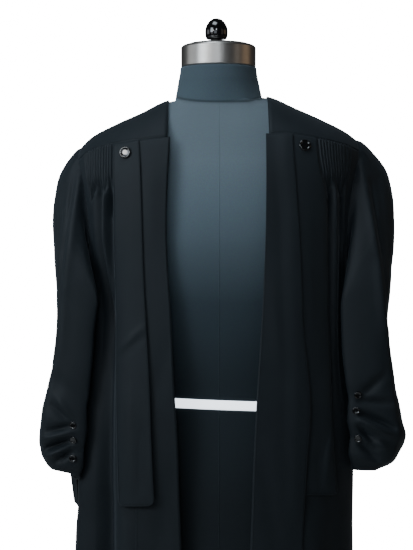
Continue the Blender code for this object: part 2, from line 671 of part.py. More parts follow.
def in_neck(x, row):
    """True for the faces that the neck opening takes away."""
    return abs(x) < NECK_HALF and row < NECK_ROW


add_cloth("yoke", carried_grid("yoke", YOKE_COLUMNS, YOKE_ROWS, yoke_place, cut=in_neck))

# Fronts, with their bands and flaps lying on them
PLAIN = np.linspace(0, 1, PLAIN_COLUMNS + 1)
GATHERED = np.linspace(1, 2, TUCK_COLUMNS + 1)
ROUND_SIDE = np.linspace(2, 3, SIDE_COLUMNS + 1)
FRONT_COLUMNS = np.concatenate((PLAIN, GATHERED[1:], ROUND_SIDE[1:]))


def settled(t, out):
    """Lets a lying piece come down to the cloth just under the yoke seam."""
    return out - LAYER_GAP * 0.5 * (1 - ease(t, 0, 0.01))


def lapped(k, edge, outer, flap_edge):
    """Columns of the right band, drawn together where it rises over the flap's inner edge."""
    before = BAND_COLUMNS[2]
    after = BAND_COLUMNS[3]
    foot = flap_edge - LAP_FOOT
    crest = flap_edge - LAP_CREST
    inner = edge + (foot - edge) * k / before
    rising = foot + (crest - foot) * (k - before) / (after - before)
    rest = crest + (outer - crest) * (k - after) / (1 - after)
    return np.where(k < before, inner, np.where(k <= after, rising, rest))


def band_place(side):
    """Places a band's points from its opening edge (0) to its outer edge (1)."""
    name = SIDE_NAME[side]

    def place(k, t):
        z = front_height(side, t)
        edge = read(EDGE, name, z)
        outer = read(BAND_OUTER, name, z)
        x = edge + (outer - edge) * k
        out = np.full(np.shape(k), LAYER_GAP + CLOTH)
        if side == RIGHT:
            flap_edge = np.minimum(read(FLAP, "inner_right", z), outer - LAP_CREST)
            x = lapped(k, edge, outer, flap_edge)
            raised = (LAYER_GAP + CLOTH) * ease(z, FLAP_END_Z[side] - LAP_END_DROP, FLAP_END_Z[side])
            out = out + raised * ease(x, flap_edge - LAP_FOOT, flap_edge - LAP_CREST)
        return front_at(side, x, t, settled(t, out))

    return place


def flap_place(side):
    """Places a flap's points from its inner edge (0) to its outer edge (1)."""
    name = SIDE_NAME[side]

    def place(k, t):
        z = front_height(side, t)
        inner = read(FLAP, "inner_" + name, z)
        outer = read(FLAP, "outer_" + name, z)
        fall = ease(z, FLAP_LIFT_Z, FLAP_END_Z[side])
        out = np.full(np.shape(k), LAYER_GAP + CLOTH)
        if side == LEFT:
            extra = FLAP_EXTRA["inner"] + (FLAP_EXTRA["outer"] - FLAP_EXTRA["inner"]) * k
            out = out + LAYER_GAP + CLOTH + extra + FLAP_LIFT[side] * fall * (1 - 0.6 * k)
        else:
            out = out + FLAP_LIFT[side] * fall * ease(k, 0.5, 1)
        return front_at(side, inner + (outer - inner) * k, t, settled(t, out))

    return place


BAND_COLUMNS = [0, 0.35, 0.65, 0.82, 1]
FLAP_COLUMNS = [0, 0.25, 0.50, 0.75, 1]

for side in (LEFT, RIGHT):
    name = SIDE_NAME[side]
    over = side == RIGHT
    front = carried_grid("front_" + name, FRONT_COLUMNS, FRONT_ROWS,
                         partial(front_point, side), turn_over=over)
    add_cloth("front_" + name, front)
    band = carried_grid("front_band_" + name, BAND_COLUMNS, FRONT_ROWS, band_place(side), turn_over=over)
    add_cloth("front_band_" + name, band)
    seam_z = front_height(side, np.zeros(1))[0]
    flap_end = (seam_z - FLAP_END_Z[side]) / (seam_z - HEM_Z)
    flap_rows = [t for t in FRONT_ROWS if t < flap_end - 0.01] + [flap_end]
    flap = carried_grid("flap_" + name, FLAP_COLUMNS, flap_rows, flap_place(side), turn_over=over)
    add_cloth("flap_" + name, flap)

# Back
BACK_COLUMNS = np.linspace(-1, 1, PLEAT_COLUMNS + 1)
add_cloth("back", carried_grid("back", BACK_COLUMNS, BACK_ROWS, back_point))

# Sleeves
AROUND = np.linspace(0, 2 * math.pi, SLEEVE_AROUND + 1)
for side in (LEFT, RIGHT):
    name = "sleeve_" + SIDE_NAME[side]
    tube = carried_grid(name, AROUND, SLEEVE_RINGS,
                        partial(sleeve_point, side), turn_over=side == LEFT, weld=True)
    add_cloth(name, tube)


# Buttons
def surface_normal(points_at, across, down, step=0.01):
    """Normal of a surface at one place, towards the viewer in front."""
    along = points_at(across + step, down) - points_at(across - step, down)
    fall = points_at(across, down + step) - points_at(across, down - step)
    normal = np.cross(along, fall)
    normal /= np.linalg.norm(normal)
    return normal if normal[1] < 0 else -normal


def on_facets(points_at, columns, rows, across, down):
    """A point on the flat faces between a sheet's columns and rows, with their normal."""
    column = int(np.searchsorted(columns, across)) - 1
    row = int(np.searchsorted(rows, down)) - 1
    right = (across - columns[column]) / (columns[column + 1] - columns[column])
    low = (down - rows[row]) / (rows[row + 1] - rows[row])
    corner = points_at(np.array([columns[column], columns[column + 1]] * 2),
                       np.array([rows[row]] * 2 + [rows[row + 1]] * 2))
    upper = corner[0] + (corner[1] - corner[0]) * right
    lower = corner[2] + (corner[3] - corner[2]) * right
    normal = np.cross(corner[3] - corner[0], corner[2] - corner[1])
    normal /= np.linalg.norm(normal)
    return upper + (lower - upper) * low, normal if normal[1] < 0 else -normal


def flap_spot(side, x, z):
    """Where on a flap's face a place seen from the front lies."""
    inner = read(FLAP, "inner_" + SIDE_NAME[side], np.array(z))
    outer = read(FLAP, "outer_" + SIDE_NAME[side], np.array(z))
    across = (x - inner) / (outer - inner)
    down = np.linspace(0.005, 0.06, 200)
    points = flap_place(side)(np.full(200, across), down)
    nearest = down[np.argmin(np.abs(points[:, 2] - z))]
    return np.array([across]), np.array([nearest])


def sleeve_spot(side, x, z):
    """Where on a sleeve's front a place seen from the front lies."""
    u, v = np.meshgrid(np.linspace(1.2, 3.0, 120), np.linspace(0.7, 0.99, 160))
    points = sleeve_point(side, u, v)
    miss = (np.abs(points[..., 0]) - x) ** 2 + (points[..., 2] - z) ** 2
    best = np.unravel_index(np.argmin(miss), miss.shape)
    return u[best], v[best]


for side in (LEFT, RIGHT):
    name = SIDE_NAME[side]
    place = flap_place(side)
    across, down = flap_spot(side, *FLAP_BUTTON_PLACE[side])
    facing = surface_normal(lambda a, b: place(a, b)[0], across, down, 0.008)
    centre = place(across, down)[0] + facing * SEAM_GAP
    add_button("flap_button_" + name, FLAP_BUTTON_RADIUS, FLAP_BUTTON_THICK, 16, centre, facing)
    for number, spot in enumerate(SLEEVE_BUTTON_PLACES[side], 1):
        u, v = sleeve_spot(side, *spot)
        points_at = partial(sleeve_point, side)
        seat, facing = on_facets(points_at, AROUND, SLEEVE_RINGS, u, v)
        centre = seat + facing * LAYER_GAP
        node = f"sleeve_button_{name}_{number}"
        add_button(node, SLEEVE_BUTTON_RADIUS, SLEEVE_BUTTON_THICK, 10, centre, facing)

# Dress form torso with its neck
FORM_LEVELS = list(TORSO["z"])
FORM_RINGS = len(FORM_LEVELS) + len(SHOULDER_RINGS) + len(NECK_RINGS)


def torso_place(angle, ring):
    """Points of the form's rings, counted from its flat bottom up to the neck's top."""
    points = np.zeros((len(angle), 3))
    for index in range(FORM_RINGS):
        here = ring == index
        if index < len(FORM_LEVELS):
            points[here] = torso_ring(angle[here], FORM_LEVELS[index])
        elif index < len(FORM_LEVELS) + len(SHOULDER_RINGS):
            points[here] = shoulder_ring(angle[here], SHOULDER_RINGS[index - len(FORM_LEVELS)])
        else:
            height, radius = NECK_RINGS[index - len(FORM_LEVELS) - len(SHOULDER_RINGS)]
            x, y = form_ring({"half": radius, "front": radius, "back": radius, "roundness": 2}, angle[here])
            points[here] = np.stack((x, y, height + 0 * x), axis=-1)
    return points


TURN = np.linspace(0, 2 * math.pi, TORSO_AROUND + 1)
torso_mesh = carried_grid("form_torso", TURN, list(range(FORM_RINGS)), torso_place, weld=True)
closed = bmesh.new()
closed.from_mesh(torso_mesh)
bmesh.ops.holes_fill(closed, edges=[edge for edge in closed.edges if edge.is_boundary], sides=0)
closed.to_mesh(torso_mesh)
closed.free()
add_object("form_torso", torso_mesh, JERSEY, 0.9)


# Waist tape, level with the form's narrowest band and dropping to the right
def tape_place(angle, edge):
    """Tape points, moved out from the torso's straight band."""
    low = torso_ring(angle, TAPE_BAND[0])
    high = torso_ring(angle, TAPE_BAND[1])
    height = TAPE_Z - TAPE_DROP * low[:, 0] + (edge - 0.5) * TAPE_WIDTH
    share = (height - TAPE_BAND[0]) / (TAPE_BAND[1] - TAPE_BAND[0])
    point = low + (high - low) * share[:, None]
    away = point * (1, 1, 0)
    away /= np.linalg.norm(away, axis=1, keepdims=True)
    return point + away * (SEAM_GAP + TAPE_THICK)


tape = carried_grid("waist_tape", TURN, [0, 1], tape_place, weld=True)
add_cloth("waist_tape", tape, TAPE_THICK, (0.80, 0.80, 0.80), 0.6)

# Neck ring with its top, and the ball knob
NECK_TOP_Z = NECK_RINGS[-1][0]
RING_LOW_Z = NECK_TOP_Z + SEAT_GAP
ring = add_turned("neck_ring", [
    (0, RING_TOP_Z + RING_DOME),
    (RING_RADIUS * 0.80, RING_TOP_Z + RING_DOME - 0.001),
    (RING_RADIUS * 0.96, RING_TOP_Z + 0.0015),
    (RING_RADIUS, RING_TOP_Z - 0.0015),
    (RING_RADIUS, RING_LOW_Z + 0.0015),
    (RING_RADIUS * 0.98, RING_LOW_Z),
    (0, RING_LOW_Z),
], TURNED_STEPS, (0.55, 0.55, 0.56), 0.22, 1.0)
ring.location.x = FORM_X

KNOB_ARC = [90, 68, 46, 24, 0]
KNOB_RISE = KNOB_TOP_Z - KNOB_WIDEST_Z
KNOB_LOW_Z = RING_TOP_Z + RING_DOME + SEAT_GAP
knob_profile = [(KNOB_RADIUS * math.cos(math.radians(a)) if a < 90 else 0,
                 KNOB_WIDEST_Z + KNOB_RISE * math.sin(math.radians(a))) for a in KNOB_ARC]
knob_profile += [
    (KNOB_RADIUS * 0.97, KNOB_WIDEST_Z - 0.006),
    (KNOB_RADIUS * 0.86, KNOB_WIDEST_Z - 0.0105),
    (KNOB_RADIUS * 0.50, KNOB_WIDEST_Z - 0.0115),
    (KNOB_RADIUS * 0.45, KNOB_LOW_Z),
    (0, KNOB_LOW_Z),
]
add_turned("knob", knob_profile, 20, (0.010, 0.010, 0.011), 0.12)

# Pole and base, finished plainly
TORSO_LOW_Z = TORSO["z"][0]
pole_length = TORSO_LOW_Z - BASE_THICK - 2 * SEAT_GAP
bpy.ops.mesh.primitive_cylinder_add(vertices=20, radius=POLE_RADIUS, depth=pole_length)
pole = bpy.context.object
pole.name = "pole"
pole.location.z = BASE_THICK + SEAT_GAP + pole_length / 2
pole.data.materials.append(material("pole", (0.02, 0.02, 0.02), 0.35, 0.6))
for holder in list(pole.users_collection):
    holder.objects.unlink(pole)
parts.objects.link(pole)

add_turned("base", [
    (0, BASE_THICK),
    (BASE_RADIUS * 0.20, BASE_THICK),
    (BASE_RADIUS * 0.90, BASE_THICK * 0.72),
    (BASE_RADIUS * 0.98, BASE_THICK * 0.50),
    (BASE_RADIUS, BASE_THICK * 0.20),
    (BASE_RADIUS * 0.99, 0),
    (0, 0),
], TURNED_STEPS, (0.02, 0.02, 0.02), 0.35, 0.6)
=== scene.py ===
# %% [markdown]
# # An advocate gown on a dress form
# The gown is a loose black robe: a yoke over the shoulders, two tucked fronts, a gathered back, full
# sleeves drawn up by small buttons, a band down each opening edge and two flaps that hang from the yoke.
# It is worn by a limbless dress form on a stand. The solids that carry mass and collision come from the
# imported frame. This file dresses them: each panel is drawn again, finer, over the same measured shape.

import math
from functools import partial

import bmesh
import bpy
import numpy as np
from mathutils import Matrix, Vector


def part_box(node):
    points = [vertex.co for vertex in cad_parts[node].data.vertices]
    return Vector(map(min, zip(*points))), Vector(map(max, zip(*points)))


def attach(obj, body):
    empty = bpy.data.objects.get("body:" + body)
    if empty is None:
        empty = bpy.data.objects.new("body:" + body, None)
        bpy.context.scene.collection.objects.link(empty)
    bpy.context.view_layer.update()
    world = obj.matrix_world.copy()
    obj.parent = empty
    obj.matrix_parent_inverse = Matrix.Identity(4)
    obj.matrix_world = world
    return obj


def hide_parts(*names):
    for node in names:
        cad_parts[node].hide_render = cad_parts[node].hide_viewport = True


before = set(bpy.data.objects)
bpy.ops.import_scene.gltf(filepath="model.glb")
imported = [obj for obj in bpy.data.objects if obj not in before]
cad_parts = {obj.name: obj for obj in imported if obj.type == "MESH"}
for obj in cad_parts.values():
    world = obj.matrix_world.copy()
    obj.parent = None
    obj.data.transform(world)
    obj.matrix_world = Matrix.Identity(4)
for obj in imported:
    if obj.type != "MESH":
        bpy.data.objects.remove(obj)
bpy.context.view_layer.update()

# %% [markdown]
# ## The camera
# The photo was taken level with the lower chest from about 2.6 m, with a long lens that keeps the
# shoulders and the hips at one scale. The sensor's 36 mm lies along the picture's long side.

# %% Camera
PICTURE_HIGH = 550
FOCAL_LENGTH_PX = 1710
CAMERA_DISTANCE = 2.6
CAMERA_X = -0.0152
CAMERA_Z = 1.2094


def put_in_scene(name, data):
    """A new object in the scene, made from its data."""
    made = bpy.data.objects.new(name, data)
    bpy.context.scene.collection.objects.link(made)
    return made


lens = bpy.data.cameras.new("camera")
lens.sensor_width = 36
lens.lens = lens.sensor_width * FOCAL_LENGTH_PX / PICTURE_HIGH
camera = put_in_scene("camera", lens)
camera.location = (CAMERA_X, -CAMERA_DISTANCE, CAMERA_Z)
camera.rotation_euler = (math.pi / 2, 0, 0)
bpy.context.scene.camera = camera
print("lens:", round(lens.lens, 1), "mm")

# %% [markdown]
# ## Tables and smooth curves
# A dressmaker's sizes are short tables: a row for each level, a named column for each size. One function
# reads a column as a smooth curve, so a panel can be sampled as finely as the cloth needs. The other
# small functions here serve every surface below.

# %% Reading a table
def table(names, rows):
    """Named columns from rows of numbers, in rising order of the first column."""
    columns = zip(*sorted(rows))
    return {name: np.array(column, float) for name, column in zip(names.split(), columns)}


def named(names, rows):
    """Rows whose numbers are read by name."""
    return [dict(zip(names.split(), row)) for row in rows]


def read(source, column, at):
    """A column of a table as a smooth curve along the table's first column."""
    keys = next(iter(source.values()))
    values = source[column]
    steps = np.diff(values) / np.diff(keys)
    slopes = np.concatenate((steps[:1], (steps[:-1] + steps[1:]) / 2, steps[-1:]))
    place = np.clip(at, keys[0], keys[-1])
    row = np.clip(np.searchsorted(keys, place) - 1, 0, len(keys) - 2)
    width = keys[row + 1] - keys[row]
    share = (place - keys[row]) / width
    rest = 1 - share
    start = (1 + 2 * share) * rest ** 2 * values[row] + share * rest ** 2 * width * slopes[row]
    end = (3 - 2 * share) * values[row + 1] - rest * width * slopes[row + 1]
    return start + share ** 2 * end


def ease(at, start, end):
    """A smooth rise from 0 at start to 1 at end."""
    share = np.clip((at - start) / (end - start), 0, 1)
    return share * share * (3 - 2 * share)


def spread(*stretches):
    """Even steps over stretches of (start, end, count) that share their ends."""
    first, *others = [np.linspace(*stretch) for stretch in stretches]
    return np.concatenate([first] + [steps[1:] for steps in others])


def unit(vectors):
    """The same directions with a length of one."""
    return vectors / np.linalg.norm(vectors, axis=-1, keepdims=True)


def rounded(value, roundness):
    """A sine or cosine squared off: 2 gives an oval, and more gives it fuller corners."""
    return np.sign(value) * np.abs(value) ** (2 / roundness)


# %% [markdown]
# ## Sizes of the gown
# The yoke is fixed by the shoulder line and its two seams. Below it the cloth hangs as a squared oval
# that is read at any height. All lengths are in metres, and x grows to the right of someone in front.

# %% Shoulders and hanging body
# A drawn sheet's thickness, the rise of one lying piece over the cloth below it, and the gaps at seams
SHEET = 0.0009
LAYER = 0.0020
SEAM_GAP = 0.0005
SEAM_DROP = 0.0011
HEM_Z = 0.34
FRONT_SEAM_Z = 1.41
BACK_SEAM_Z = 1.345
LEFT = -1
RIGHT = 1
FRONT = -1
BACK = 1
SIDE_NAME = {LEFT: "left", RIGHT: "right"}

SHOULDER = table("x ridge_z front_y front_z back_y back_z", [
    (-0.2065, 1.4015, -0.0455, 1.3820, 0.0560, 1.3500),
    (-0.1920, 1.4160, -0.0650, 1.3917, 0.0800, 1.3500),
    (-0.1540, 1.4370, -0.0900, 1.4018, 0.1070, 1.3490),
    (-0.1150, 1.4545, -0.1005, 1.4070, 0.1180, 1.3470),
    (-0.0722, 1.4748, -0.1045, 1.4112, 0.1235, 1.3455),
    (0.0000, 1.4780, -0.1060, 1.4140, 0.1250, 1.3450),
    (0.0760, 1.4805, -0.1045, 1.4165, 0.1235, 1.3455),
    (0.1200, 1.4620, -0.1010, 1.4145, 0.1175, 1.3470),
    (0.1600, 1.4440, -0.0930, 1.4078, 0.1060, 1.3490),
    (0.1950, 1.4265, -0.0690, 1.4005, 0.0830, 1.3500),
    (0.2125, 1.4140, -0.0460, 1.3950, 0.0590, 1.3500),
])

# How late the shoulders fall away from their ridge, in front and behind
FRONT_FALL = 2.2
BACK_FALL = 2.6

BODY = table("z half_left half_right front back roundness", [
    (1.410, 0.2150, 0.2240, 0.1220, 0.1240, 2.8),
    (1.360, 0.2060, 0.2120, 0.1245, 0.1260, 2.9),
    (1.300, 0.1990, 0.2030, 0.1260, 0.1270, 3.0),
    (1.215, 0.1945, 0.1965, 0.1265, 0.1270, 3.0),
    (1.100, 0.1945, 0.1960, 0.1255, 0.1270, 3.0),
    (1.040, 0.2010, 0.2030, 0.1245, 0.1275, 3.0),
    (0.960, 0.2070, 0.2065, 0.1240, 0.1280, 3.0),
    (0.900, 0.2092, 0.2065, 0.1235, 0.1295, 3.0),
    (0.860, 0.2098, 0.2060, 0.1235, 0.1310, 2.9),
    (0.830, 0.2125, 0.2060, 0.1235, 0.1320, 2.8),
    (0.700, 0.2160, 0.2085, 0.1250, 0.1360, 2.6),
    (0.340, 0.2260, 0.2220, 0.1330, 0.1500, 2.5),
])
print("hem to shoulder:", round(float(SHOULDER["ridge_z"].max()) - HEM_Z, 3), "m")

# %% Opening edges, tucked stretches, bands and flaps
EDGE = table("z left right", [
    (1.411, 0.0684, 0.0715),
    (1.361, 0.0716, 0.0716),
    (1.260, 0.0731, 0.0702),
    (1.159, 0.0673, 0.0658),
    (1.060, 0.0629, 0.0595),
    (0.970, 0.0572, 0.0545),
    (0.880, 0.0543, 0.0508),
    (0.810, 0.0514, 0.0485),
    (0.340, 0.0400, 0.0380),
])
TUCKED = table("z start_left end_left start_right end_right", [
    (1.410, 0.1530, 0.1850, 0.1480, 0.1840),
    (1.350, 0.1530, 0.1850, 0.1570, 0.1860),
    (1.310, 0.1530, 0.1850, 0.1660, 0.1870),
    (1.000, 0.1530, 0.1850, 0.1690, 0.1870),
    (0.880, 0.1530, 0.1860, 0.1785, 0.1910),
    (0.340, 0.1560, 0.1900, 0.1800, 0.2000),
])
BAND_OUTER = table("z left right", [
    (1.405, 0.1165, 0.1107),
    (1.318, 0.1175, 0.1165),
    (1.246, 0.1180, 0.1208),
    (1.130, 0.1180, 0.1252),
    (1.020, 0.1180, 0.1360),
    (0.937, 0.1180, 0.1310),
    (0.820, 0.1180, 0.1240),
    (0.340, 0.1120, 0.1150),
])
FLAP = table("z inner_left outer_left inner_right outer_right", [
    (1.410, 0.1136, 0.1516, 0.1040, 0.1465),
    (1.363, 0.1107, 0.1516, 0.1060, 0.1527),
    (1.318, 0.1088, 0.1514, 0.1095, 0.1642),
    (1.200, 0.1049, 0.1510, 0.1150, 0.1650),
    (1.043, 0.0962, 0.1490, 0.1190, 0.1652),
    (0.960, 0.0933, 0.1465, 0.1185, 0.1686),
    (0.875, 0.0890, 0.1440, 0.1190, 0.1750),
])
FLAP_END_Z = {LEFT: 0.8752, RIGHT: 0.8900}

# Below this height the flaps swing free, by this much at their ends
FLAP_LIFT_Z = 1.25
FLAP_LIFT = {LEFT: 0.006, RIGHT: 0.003}

# The left flap comes down off its band between these distances from the middle, and lies tilted
OVER_BAND = (0.121, 0.145)
FLAP_EXTRA = {"inner": 0.0002, "outer": -0.0004}

# Where the right band rises over its flap, measured inwards from the flap's inner edge
LAP_FOOT = 0.024
LAP_CREST = 0.002
LAP_END_DROP = 0.06

# %% Tucks, folds and armholes
# Each tuck is held down to the first drop below its seam, and has opened out by the second
TUCKS = 8
TUCK_END = 0.044
TUCK_RELEASE = 0.069

# Long folds: distance from the middle at FOLD_TOP_Z and at the hem, form, and heights they run between
FOLDS = named("side top_x low_x width depth full_z build end_z", [
    (LEFT, 0.1568, 0.1575, 0.0048, -0.0085, 1.31, 0.05, 1.13),
    (LEFT, 0.1650, 0.1665, 0.0036, 0.0046, 1.31, 0.05, 1.10),
    (LEFT, 0.1740, 0.1760, 0.0048, -0.0095, 1.31, 0.05, 1.08),
    (LEFT, 0.1720, 0.1670, 0.0180, -0.0270, 1.14, 0.14, 0.28),
    (LEFT, 0.2020, 0.2020, 0.0080, 0.0050, 1.00, 0.14, 0.30),
    (LEFT, 0.1000, 0.0880, 0.0420, 0.0050, 0.45, 0.42, 0.20),
    (RIGHT, 0.1660, 0.1900, 0.0030, -0.0074, 1.31, 0.05, 0.95),
    (RIGHT, 0.1735, 0.1960, 0.0048, 0.0044, 1.31, 0.05, 1.05),
    (RIGHT, 0.1885, 0.1960, 0.0060, -0.0060, 1.30, 0.06, 0.95),
    (RIGHT, 0.0980, 0.0860, 0.0420, 0.0050, 0.45, 0.42, 0.20),
])
FOLD_FADE = 0.14
FOLD_TOP_Z = 1.31

# Cloth from the tucks to the side seam, as the places of folds and creases count it
SIDE_STRETCH = 0.055

# Armholes: place, half depth, lean backwards and roundness
ARM_X = {LEFT: 0.2065, RIGHT: 0.2125}
ARM_TOP_Z = {LEFT: 1.4010, RIGHT: 1.4135}
UNDERARM_Z = {LEFT: 1.215, RIGHT: 1.218}
ARM_DEPTH = 0.066
ARM_BACKWARD = 0.06
ARM_ROUNDNESS = 2.4

# How soon cloth bends over below its seam, and how evenly the back's columns are spread
SEAM_BEND = 0.030
ARM_SHARE = 0.78

# %% Sleeve sections
SLEEVE_COLUMNS = "along inner_x inner_z outer_x outer_z front back roundness turn"
SLEEVE = {
    LEFT: table(SLEEVE_COLUMNS, [
        (0.00, 0.1952, 1.2150, 0.2065, 1.4010, 0.062, 0.070, 2.3, 0.0),
        (0.07, 0.2015, 1.2080, 0.2170, 1.3900, 0.075, 0.078, 2.3, -0.2),
        (0.12, 0.2015, 1.1990, 0.2300, 1.3755, 0.083, 0.082, 2.3, -0.5),
        (0.18, 0.2005, 1.1880, 0.2395, 1.3580, 0.088, 0.084, 2.3, -0.6),
        (0.25, 0.1995, 1.1740, 0.2450, 1.3330, 0.091, 0.087, 2.4, -0.6),
        (0.33, 0.1990, 1.1560, 0.2485, 1.3020, 0.0915, 0.089, 2.4, -0.5),
        (0.45, 0.1985, 1.1250, 0.2450, 1.2450, 0.090, 0.090, 2.5, -0.1),
        (0.57, 0.2000, 1.0850, 0.2385, 1.1800, 0.088, 0.090, 2.6, 0.3),
        (0.66, 0.2040, 1.0500, 0.2375, 1.1250, 0.088, 0.090, 2.7, 0.4),
        (0.75, 0.2095, 1.0150, 0.2480, 1.0620, 0.088, 0.090, 2.8, 0.3),
        (0.84, 0.2115, 0.9760, 0.2620, 0.9930, 0.088, 0.090, 2.8, 0.2),
        (0.90, 0.2120, 0.9520, 0.2660, 0.9560, 0.088, 0.090, 2.8, 0.1),
        (0.95, 0.2112, 0.9300, 0.2630, 0.9400, 0.085, 0.090, 2.7, 0.0),
        (1.00, 0.2110, 0.9030, 0.2510, 0.9260, 0.078, 0.088, 2.6, 0.0),
    ]),
    RIGHT: table(SLEEVE_COLUMNS, [
        (0.00, 0.1972, 1.2180, 0.2125, 1.4135, 0.062, 0.070, 2.3, 0.0),
        (0.07, 0.2035, 1.2110, 0.2260, 1.4065, 0.072, 0.078, 2.3, -0.2),
        (0.12, 0.2035, 1.2020, 0.2420, 1.3900, 0.078, 0.082, 2.3, -0.5),
        (0.18, 0.2025, 1.1910, 0.2560, 1.3720, 0.082, 0.084, 2.3, -0.6),
        (0.25, 0.2010, 1.1770, 0.2640, 1.3500, 0.085, 0.087, 2.4, -0.6),
        (0.33, 0.2000, 1.1590, 0.2695, 1.3150, 0.087, 0.089, 2.4, -0.5),
        (0.45, 0.1995, 1.1280, 0.2680, 1.2550, 0.088, 0.090, 2.5, -0.1),
        (0.57, 0.2010, 1.0880, 0.2590, 1.1880, 0.088, 0.090, 2.6, 0.3),
        (0.66, 0.2050, 1.0530, 0.2550, 1.1300, 0.088, 0.090, 2.7, 0.4),
        (0.75, 0.2090, 1.0180, 0.2630, 1.0700, 0.088, 0.090, 2.8, 0.3),
        (0.84, 0.2105, 0.9800, 0.2760, 0.9980, 0.088, 0.090, 2.8, 0.2),
        (0.90, 0.2110, 0.9560, 0.2820, 0.9640, 0.088, 0.090, 2.8, 0.1),
        (0.95, 0.2110, 0.9370, 0.2710, 0.9370, 0.085, 0.090, 2.7, 0.0),
        (1.00, 0.2110, 0.9220, 0.2400, 0.9190, 0.078, 0.088, 2.6, 0.0),
    ]),
}
SLEEVE_REST = table("along left right", [
    (0.00, 0.0042, 0.0042), (0.45, 0.0042, 0.0042), (0.62, 0.0070, 0.0055), (0.75, 0.0078, 0.0068),
    (1.00, 0.0078, 0.0068),
])

# The armhole leads a sleeve over this share of its length; the head widens as it goes, from tucked in
HEAD_SHARE = 0.16
HEAD_STEP = 0.10
HEAD_TUCKED = 0.0015

# A sleeve is pressed to the body between these angles round it, from this share of its length on
LEAN = {LEFT: (0.95, 2.10), RIGHT: (1.15, 2.20)}
LEAN_END = (2.75, 3.12)
LEAN_SHARE = 0.12

# Behind, the cuff hangs lower by this much
SLEEVE_TAIL = {LEFT: 0.056, RIGHT: 0.012}
TAIL_START = (2.90, 3.35)
TAIL_END = (4.30, 4.80)
TAIL_SHARE = 0.8

# Troughs and ridges round each sleeve above its cuff, where the buttons draw the cloth up
RUCHE_WIDTH = 0.020
RUCHE_AIM = 2.3
RUCHES = named("side along slope depth", [
    (LEFT, 0.790, -0.030, -0.00175),
    (LEFT, 0.850, -0.020, 0.00150),
    (LEFT, 0.900, 0.010, -0.00225),
    (LEFT, 0.955, 0.020, 0.00150),
    (RIGHT, 0.760, 0.015, -0.00200),
    (RIGHT, 0.810, 0.040, 0.00175),
    (RIGHT, 0.860, 0.040, -0.00225),
    (RIGHT, 0.920, 0.030, 0.00175),
])

# %% [markdown]
# ## Hanging surfaces
# Each panel is a function from two shares, one across and one down, to a point. The base surface has no
# folds. Relief is added along its outward normal, so tucks and creases hardly shift the outline.

# %% Normals and level sections
def outward(points_at, across, down, top=0):
    """Unit normals of a hung surface, pointing away from the body's middle line."""
    step = 0.002
    along = points_at(across + step, down) - points_at(across - step, down)
    low = np.clip(down + step, top, 1)
    high = np.clip(down - step, top, 1)
    normal = unit(np.cross(along, points_at(across, low) - points_at(across, high)))
    middle = points_at(across, down)
    facing = normal[..., 0] * middle[..., 0] + normal[..., 1] * middle[..., 1]
    return normal * np.where(facing < 0, -1.0, 1.0)[..., None]


def section(side, face, z):
    """Half width, depth and roundness of the body at a height."""
    half = np.where(side < 0, read(BODY, "half_left", z), read(BODY, "half_right", z))
    depth = read(BODY, "front" if face == FRONT else "back", z)
    return half, depth, read(BODY, "roundness", z)


# Even steps along a middling section, which serve at every height
EVEN_ANGLES = np.linspace(0, math.pi / 2, 721)
MIDDLING_X = 0.2 * np.sin(EVEN_ANGLES) ** (2 / 3)
MIDDLING_Y = 0.127 * np.cos(EVEN_ANGLES) ** (2 / 3)
EVEN_STEPS = np.hypot(np.diff(MIDDLING_X), np.diff(MIDDLING_Y))
EVEN_SHARES = np.concatenate(([0], np.cumsum(EVEN_STEPS))) / np.sum(EVEN_STEPS)


def even_angle(share):
    """The section's angle at an even share of its length, from the middle to the side."""
    return np.interp(share, EVEN_SHARES, EVEN_ANGLES)


def even_share(angle):
    """The share of the section's length at an angle."""
    return np.interp(angle, EVEN_ANGLES, EVEN_SHARES)


def arm_reach(side, z):
    """Half the armhole's opening from front to back at a height."""
    top = np.where(side < 0, ARM_TOP_Z[LEFT], ARM_TOP_Z[RIGHT])
    under = np.where(side < 0, UNDERARM_Z[LEFT], UNDERARM_Z[RIGHT])
    share = np.clip(np.abs(2 * z - top - under) / (top - under), 0, 1)
    return ARM_DEPTH * (1 - share ** ARM_ROUNDNESS) ** (1 / ARM_ROUNDNESS)


def side_angle(side, face, z):
    """The angle of the section where the panel ends, at the armhole or the side seam."""
    half, depth, roundness = section(side, face, z)
    reach = np.maximum(arm_reach(side, z) * (1 + face * ARM_BACKWARD), SEAM_GAP / 2)
    return np.arccos(np.clip(reach / depth, 0, 1) ** (roundness / 2))


def zone_x(side, s, z):
    """Distance from the middle for the plain stretch (s 0 to 1) and the tucked one (1 to 2)."""
    name = SIDE_NAME[side]
    edge = read(EDGE, name, z)
    start = read(TUCKED, "start_" + name, z)
    end = read(TUCKED, "end_" + name, z)
    return np.where(s < 1, edge + (start - edge) * s, start + (end - start) * (np.minimum(s, 2) - 1))


# %% Front, back and yoke without their folds
def hang(seam, z, body, angle):
    """Bends cloth from its seam over to the body's section at a height, at the section's angle."""
    seam_x, seam_y, seam_z = seam
    half, depth, roundness = body
    hung = 1 - np.exp(-(seam_z - z) / SEAM_BEND)
    x = seam_x + (half * rounded(np.sin(angle), roundness) - seam_x) * hung
    y = seam_y + (depth * rounded(np.cos(angle), roundness) - seam_y) * hung
    return x, y


